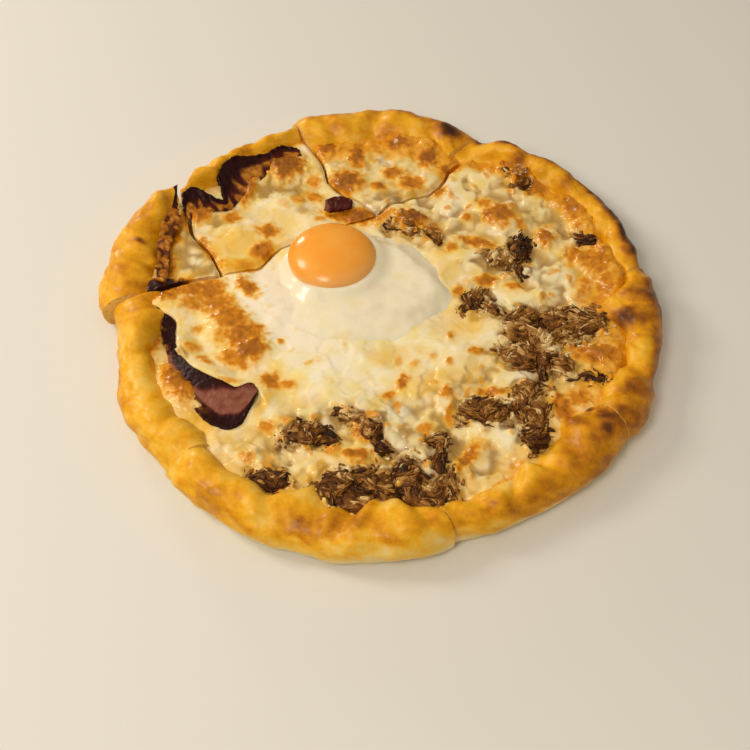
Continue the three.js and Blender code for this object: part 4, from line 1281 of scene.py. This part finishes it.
def feed(tree, socket, value):
    """Gives a socket its value, or a link where the value is another node's output."""
    if isinstance(value, bpy.types.NodeSocket):
        tree.links.new(value, socket)
    else:
        socket.default_value = value


def add(tree, kind, inputs=None, stops=None, **settings):
    """Adds a node with its settings; each input takes a value or a link, and a ramp takes its stops."""
    made = tree.nodes.new(kind)
    for key, value in settings.items():
        setattr(made, key, value)
    for key, value in (inputs or {}).items():
        feed(tree, made.inputs[key], value)
    if stops:
        ramp = made.color_ramp
        while len(ramp.elements) < len(stops):
            ramp.elements.new(1.0)
        for element, (place, code) in zip(ramp.elements, stops):
            element.position = place
            element.color = colour(code)
    return made


def new_material(name):
    material = bpy.data.materials.new(name)
    material.use_nodes = True
    tree = material.node_tree
    tree.nodes.clear()
    shader = add(tree, "ShaderNodeBsdfPrincipled")
    add(tree, "ShaderNodeOutputMaterial", {"Surface": shader.outputs["BSDF"]})
    place = add(tree, "ShaderNodeTexCoord").outputs["Object"]
    return material, tree, shader, place


def dress(tree, shader, **sockets):
    """Sets or links the shader's own sockets."""
    for key, value in sockets.items():
        feed(tree, shader.inputs[key.replace("_", " ").title().replace("Ior", "IOR")], value)


def crust_material():
    """Buttered baked crust: satin gloss, golden, toasted brown on the high sides, pale below, with painted
    shade on the far side and in a fold.
    """
    material, tree, shader, place = new_material("buttered baked crust")
    # How toasted the crust is, with painted shade in it.
    toast = add(tree, "ShaderNodeAttribute", attribute_name="toast").outputs["Fac"]
    mottle = add(
        tree, "ShaderNodeTexNoise", {"Vector": place, "Scale": per(7), "Detail": 5.0, "Roughness": 0.62}
    )
    speck = add(tree, "ShaderNodeTexNoise", {"Vector": place, "Scale": per(1.6), "Detail": 3.0})
    spread = add(
        tree, "ShaderNodeMath", {0: mottle.outputs["Fac"], 1: 0.44, 2: toast}, operation="MULTIPLY_ADD"
    )
    spread = add(
        tree, "ShaderNodeMath", {0: speck.outputs["Fac"], 1: 0.14, 2: spread.outputs[0]},
        operation="MULTIPLY_ADD",
    )
    level = add(tree, "ShaderNodeMath", {0: spread.outputs[0], 1: 0.3}, operation="SUBTRACT")
    stops = (
        (0.0, "f6dc98"), (0.2, "f6c856"), (0.36, "f0b11c"), (0.5, "da9304"), (0.66, "ae6902"),
        (0.84, "683602"), (1.0, "3a1b04"),
    )
    ramp = add(tree, "ShaderNodeValToRGB", {"Fac": level.outputs[0]}, stops=stops)
    rough = add(
        tree, "ShaderNodeMapRange", {"Value": mottle.outputs["Fac"], "To Min": 0.38, "To Max": 0.54}
    )
    bumps = add(
        tree, "ShaderNodeBump", {"Height": spread.outputs[0], "Strength": 0.5, "Distance": 1.6 * MM}
    )
    dress(tree, shader, base_color=ramp.outputs["Color"], roughness=rough.outputs[0], normal=bumps.outputs[0])
    dress(tree, shader, subsurface_weight=0.12, subsurface_scale=2.5 * MM, subsurface_radius=(1.0, 0.5, 0.2))
    dress(tree, shader, coat_weight=0.16, coat_roughness=0.22, specular_ior_level=0.2)
    return material


def crumb_material():
    """Soft bread crumb on the cut faces: matt, cream, with small pores."""
    material, tree, shader, place = new_material("soft bread crumb")
    pores = add(tree, "ShaderNodeTexVoronoi", {"Vector": place, "Scale": per(1.8)})
    ramp_stops = ((0.0, "b87c24"), (0.35, "dca646"), (1.0, "e8ba60"))
    ramp = add(tree, "ShaderNodeValToRGB", {"Fac": pores.outputs["Distance"]}, stops=ramp_stops)
    bumps = add(
        tree, "ShaderNodeBump", {"Height": pores.outputs["Distance"], "Strength": 0.6, "Distance": 0.6 * MM}
    )
    dress(tree, shader, base_color=ramp.outputs["Color"], roughness=0.8, normal=bumps.outputs[0])
    return material


def cheese_material():
    """Melted cheese: smooth, oily and a little see-through, cream to yellow, with browned blisters."""
    material, tree, shader, place = new_material("melted cheese")
    # How browned the cheese is, with one painted shadow in it.
    brown = add(tree, "ShaderNodeAttribute", attribute_name="brown").outputs["Fac"]
    thin = add(tree, "ShaderNodeAttribute", attribute_name="thin").outputs["Fac"]
    oil = add(tree, "ShaderNodeAttribute", attribute_name="oil").outputs["Fac"]
    cloud = add(tree, "ShaderNodeTexNoise", {"Vector": place, "Scale": per(9), "Detail": 4.0})
    fleck = add(
        tree, "ShaderNodeTexNoise", {"Vector": place, "Scale": per(3), "Detail": 4.0, "Roughness": 0.6}
    )
    cream_stops = ((0.32, "fdf5de"), (0.5, "f9ebba"), (0.7, "f4dc88"))
    cream = add(tree, "ShaderNodeValToRGB", {"Fac": cloud.outputs["Fac"]}, stops=cream_stops)
    patchy = add(tree, "ShaderNodeMath", {0: cloud.outputs["Fac"], 1: 1.5}, operation="MULTIPLY")
    grey = add(
        tree, "ShaderNodeMath", {0: patchy.outputs[0], 1: thin}, operation="MULTIPLY", use_clamp=True
    )
    paled = add(
        tree, "ShaderNodeMix", {0: grey.outputs[0], 6: cream.outputs["Color"], 7: colour("c0a068")},
        data_type="RGBA",
    )
    soaked = add(
        tree, "ShaderNodeMapRange", {"Value": thin, "From Min": 0.55, "From Max": 1.1, "To Max": 0.85}
    )
    paled = add(
        tree, "ShaderNodeMix", {0: soaked.outputs[0], 6: paled.outputs[2], 7: colour("92724a")},
        data_type="RGBA",
    )
    oiled = add(tree, "ShaderNodeMath", {0: oil, 1: 0.65}, operation="MULTIPLY", use_clamp=True)
    yellow = add(
        tree, "ShaderNodeMix", {0: oiled.outputs[0], 6: paled.outputs[2], 7: colour("f0bb34")},
        data_type="RGBA",
    )
    milk = add(tree, "ShaderNodeMath", {0: oil, 1: -0.6}, operation="MULTIPLY", use_clamp=True)
    yellow = add(
        tree, "ShaderNodeMix", {0: milk.outputs[0], 6: yellow.outputs[2], 7: colour("f9efdc")},
        data_type="RGBA",
    )
    uneven = add(
        tree, "ShaderNodeMath", {0: fleck.outputs["Fac"], 1: 0.8, 2: -0.4}, operation="MULTIPLY_ADD"
    )
    scorch = add(tree, "ShaderNodeMath", {0: brown, 1: uneven.outputs[0]}, operation="ADD")
    stops = (
        (0.0, "f6cc4c"), (0.16, "f0b428"), (0.3, "e69c12"), (0.44, "cf8008"), (0.56, "ac6808"),
        (0.74, "7c4408"), (0.86, "48200f"), (0.95, "3a1812"),
    )
    burnt = add(tree, "ShaderNodeMath", {0: scorch.outputs[0], 1: 0.55}, operation="MULTIPLY")
    ramp = add(tree, "ShaderNodeValToRGB", {"Fac": burnt.outputs[0]}, stops=stops)
    cover = add(
        tree, "ShaderNodeMapRange", {"Value": scorch.outputs[0], "From Min": 0.02, "From Max": 0.7}
    )
    final = add(
        tree, "ShaderNodeMix", {0: cover.outputs[0], 6: yellow.outputs[2], 7: ramp.outputs["Color"]},
        data_type="RGBA",
    )
    bumps = add(
        tree, "ShaderNodeBump", {"Height": fleck.outputs["Fac"], "Strength": 0.1, "Distance": 0.5 * MM}
    )
    rough = add(
        tree, "ShaderNodeMapRange", {"Value": cloud.outputs["Fac"], "To Min": 0.18, "To Max": 0.34}
    )
    dress(tree, shader, base_color=final.outputs[2], roughness=rough.outputs[0], normal=bumps.outputs[0])
    dress(tree, shader, coat_weight=0.15, coat_roughness=0.08, specular_ior_level=0.32)
    return material


def white_material():
    """Set egg white: smooth, moist and milky, clearer where it is thin."""
    material, tree, shader, place = new_material("set egg white")
    cloud = add(tree, "ShaderNodeTexNoise", {"Vector": place, "Scale": per(12), "Detail": 3.0})
    milk_stops = ((0.28, "ece0c6"), (0.46, "f8eed8"), (0.6, "f8ecce"), (0.76, "f4e2ae"))
    milk = add(tree, "ShaderNodeValToRGB", {"Fac": cloud.outputs["Fac"]}, stops=milk_stops)
    ripple = add(tree, "ShaderNodeTexNoise", {"Vector": place, "Scale": per(3), "Detail": 2.0})
    bumps = add(
        tree, "ShaderNodeBump", {"Height": ripple.outputs["Fac"], "Strength": 0.04, "Distance": 0.6 * MM}
    )
    dress(tree, shader, base_color=milk.outputs["Color"], roughness=0.22, normal=bumps.outputs[0])
    dress(tree, shader, subsurface_weight=0.35, subsurface_scale=4 * MM, subsurface_radius=(1.0, 0.8, 0.5))
    return material


def yolk_material():
    """Soft egg yolk: deep orange and glossy under a thin film of white that thickens at its edge."""
    material, tree, shader, place = new_material("soft egg yolk")
    film = add(tree, "ShaderNodeAttribute", attribute_name="film").outputs["Fac"]
    cloud = add(tree, "ShaderNodeTexNoise", {"Vector": place, "Scale": per(14), "Detail": 2.0})
    orange_stops = ((0.3, "ffa42e"), (0.7, "ffb246"))
    orange = add(tree, "ShaderNodeValToRGB", {"Fac": cloud.outputs["Fac"]}, stops=orange_stops)
    veil = add(tree, "ShaderNodeMath", {0: film, 1: 0.5}, operation="MULTIPLY", use_clamp=True)
    veiled = add(
        tree, "ShaderNodeMix", {0: veil.outputs[0], 6: orange.outputs["Color"], 7: colour("fbc684")},
        data_type="RGBA",
    )
    dress(tree, shader, base_color=veiled.outputs[2], roughness=0.22)
    dress(tree, shader, subsurface_weight=0.3, subsurface_scale=4 * MM, subsurface_radius=(1.0, 0.5, 0.15))
    return material


def meat_material():
    """Braised beef pulled to shreds: brown fibres, moist, with painted shade dark between them and painted
    light on their tops.
    """
    material, tree, shader, _ = new_material("braised shredded beef")
    shade = add(tree, "ShaderNodeAttribute", attribute_name="shade").outputs["Fac"]
    along = add(tree, "ShaderNodeAttribute", attribute_name="grain").outputs["Vector"]
    fibre = add(
        tree, "ShaderNodeTexNoise", {"Vector": along, "Scale": 1.0, "Detail": 3.0, "Roughness": 0.6}
    )
    mixed = add(
        tree, "ShaderNodeMath", {0: fibre.outputs["Fac"], 1: 0.7, 2: shade}, operation="MULTIPLY_ADD"
    )
    level = add(
        tree, "ShaderNodeMath", {0: mixed.outputs[0], 1: 0.85, 2: -0.26}, operation="MULTIPLY_ADD"
    )
    stops = (
        (0.04, "2e1606"), (0.2, "4e2a08"), (0.38, "72430e"), (0.56, "9e6a2a"), (0.78, "c89c5c"),
        (1.0, "f0d8a0"),
    )
    ramp = add(tree, "ShaderNodeValToRGB", {"Fac": level.outputs[0]}, stops=stops)
    bumps = add(
        tree, "ShaderNodeBump", {"Height": fibre.outputs["Fac"], "Strength": 0.7, "Distance": 0.6 * MM}
    )
    dress(tree, shader, base_color=ramp.outputs["Color"], normal=bumps.outputs[0])
    dress(tree, shader, roughness=0.5, specular_ior_level=0.25)
    return material


def beef_material():
    """Cured beef: dark maroon and oily, purple-pink on its flat, burnt black along the curled edges, with
    painted shade and shadow on one slice's fold and hem.
    """
    material, tree, shader, place = new_material("cured dried beef")
    # How charred the slice is, with painted shade in it.
    char = add(tree, "ShaderNodeAttribute", attribute_name="char").outputs["Fac"]
    grain = add(tree, "ShaderNodeTexNoise", {"Vector": place, "Scale": per(2.5), "Detail": 4.0})
    mixed = add(
        tree, "ShaderNodeMath", {0: grain.outputs["Fac"], 1: 0.4, 2: char}, operation="MULTIPLY_ADD"
    )
    stops = ((0.1, "94604e"), (0.32, "7a4234"), (0.55, "4e180f"), (0.8, "340907"), (1.0, "270404"))
    ramp = add(tree, "ShaderNodeValToRGB", {"Fac": mixed.outputs[0]}, stops=stops)
    glaze = add(tree, "ShaderNodeAttribute", attribute_name="glaze").outputs["Fac"]
    fat_stops = ((0.3, "7c4410"), (0.5, "b26c1c"), (0.7, "d69a3e"))
    fat = add(tree, "ShaderNodeValToRGB", {"Fac": grain.outputs["Fac"]}, stops=fat_stops)
    coated = add(
        tree, "ShaderNodeMix", {0: glaze, 6: ramp.outputs["Color"], 7: fat.outputs["Color"]},
        data_type="RGBA",
    )
    bumps = add(
        tree, "ShaderNodeBump", {"Height": grain.outputs["Fac"], "Strength": 0.4, "Distance": 0.8 * MM}
    )
    dress(tree, shader, base_color=coated.outputs[2], normal=bumps.outputs[0])
    dress(tree, shader, roughness=0.32, specular_ior_level=0.14)
    return material


def floor_material():
    """A plain pale matt table top."""
    material, tree, shader, _ = new_material("pale matt table")
    dress(tree, shader, base_color=colour("e4e4e4"), roughness=0.7)
    return material


def make_stage():
    """A pale floor, soft light from above and a window low on the far left."""
    bm = bmesh.new()
    bmesh.ops.create_grid(bm, x_segments=1, y_segments=1, size=FLOOR_HALF)
    mesh = mesh_from(bm, "floor")
    mesh.transform(Matrix.Scale(MM, 4))
    mesh.materials.append(floor_material())
    floor = bpy.data.objects.new("floor", mesh)
    bpy.context.scene.collection.objects.link(floor)

    world = bpy.data.worlds.new("soft daylight")
    world.use_nodes = True
    tree = world.node_tree
    way = add(tree, "ShaderNodeTexCoord").outputs["Generated"]
    height = add(tree, "ShaderNodeSeparateXYZ", {"Vector": way}).outputs["Z"]
    level = add(tree, "ShaderNodeMapRange", {"Value": height, "To Min": 0.1, "To Max": 0.62})
    sky = tree.nodes["Background"]
    sky.inputs["Color"].default_value = SKY_COLOUR
    tree.links.new(level.outputs[0], sky.inputs["Strength"])
    bpy.context.scene.world = world

    for name, (place, wide, tall, watts) in LAMPS.items():
        lamp = bpy.data.lights.new(name, "AREA")
        lamp.shape = "RECTANGLE"
        lamp.size, lamp.size_y = wide * MM, tall * MM
        lamp.energy = watts
        lamp.color = LAMP_COLOUR
        holder = bpy.data.objects.new(name, lamp)
        holder.location = Vector(place) * MM
        holder.rotation_euler = (-Vector(place)).to_track_quat("-Z", "Y").to_euler()
        bpy.context.scene.collection.objects.link(holder)

    camera = bpy.data.objects.new("camera", bpy.data.cameras.new("camera"))
    camera.data.angle = math.radians(CAMERA_FIELD)
    camera.data.clip_start = 0.01
    tilt = math.radians(CAMERA_ELEVATION)
    back = Vector((0, -math.cos(tilt), math.sin(tilt)))
    roll = Matrix.Rotation(math.radians(CAMERA_ROLL), 4, "Z")
    turn = Matrix.Rotation(0.5 * math.pi - tilt, 4, "X") @ roll
    camera.matrix_world = Matrix.Translation((CAMERA_AIM + CAMERA_DISTANCE * back) * MM) @ turn
    bpy.context.scene.collection.objects.link(camera)
    bpy.context.scene.camera = camera
    bpy.context.scene.view_settings.view_transform = "Standard"


make_stage()
make_bread()
make_cheese()
make_meat()
make_beef()
make_white()
make_yolk()
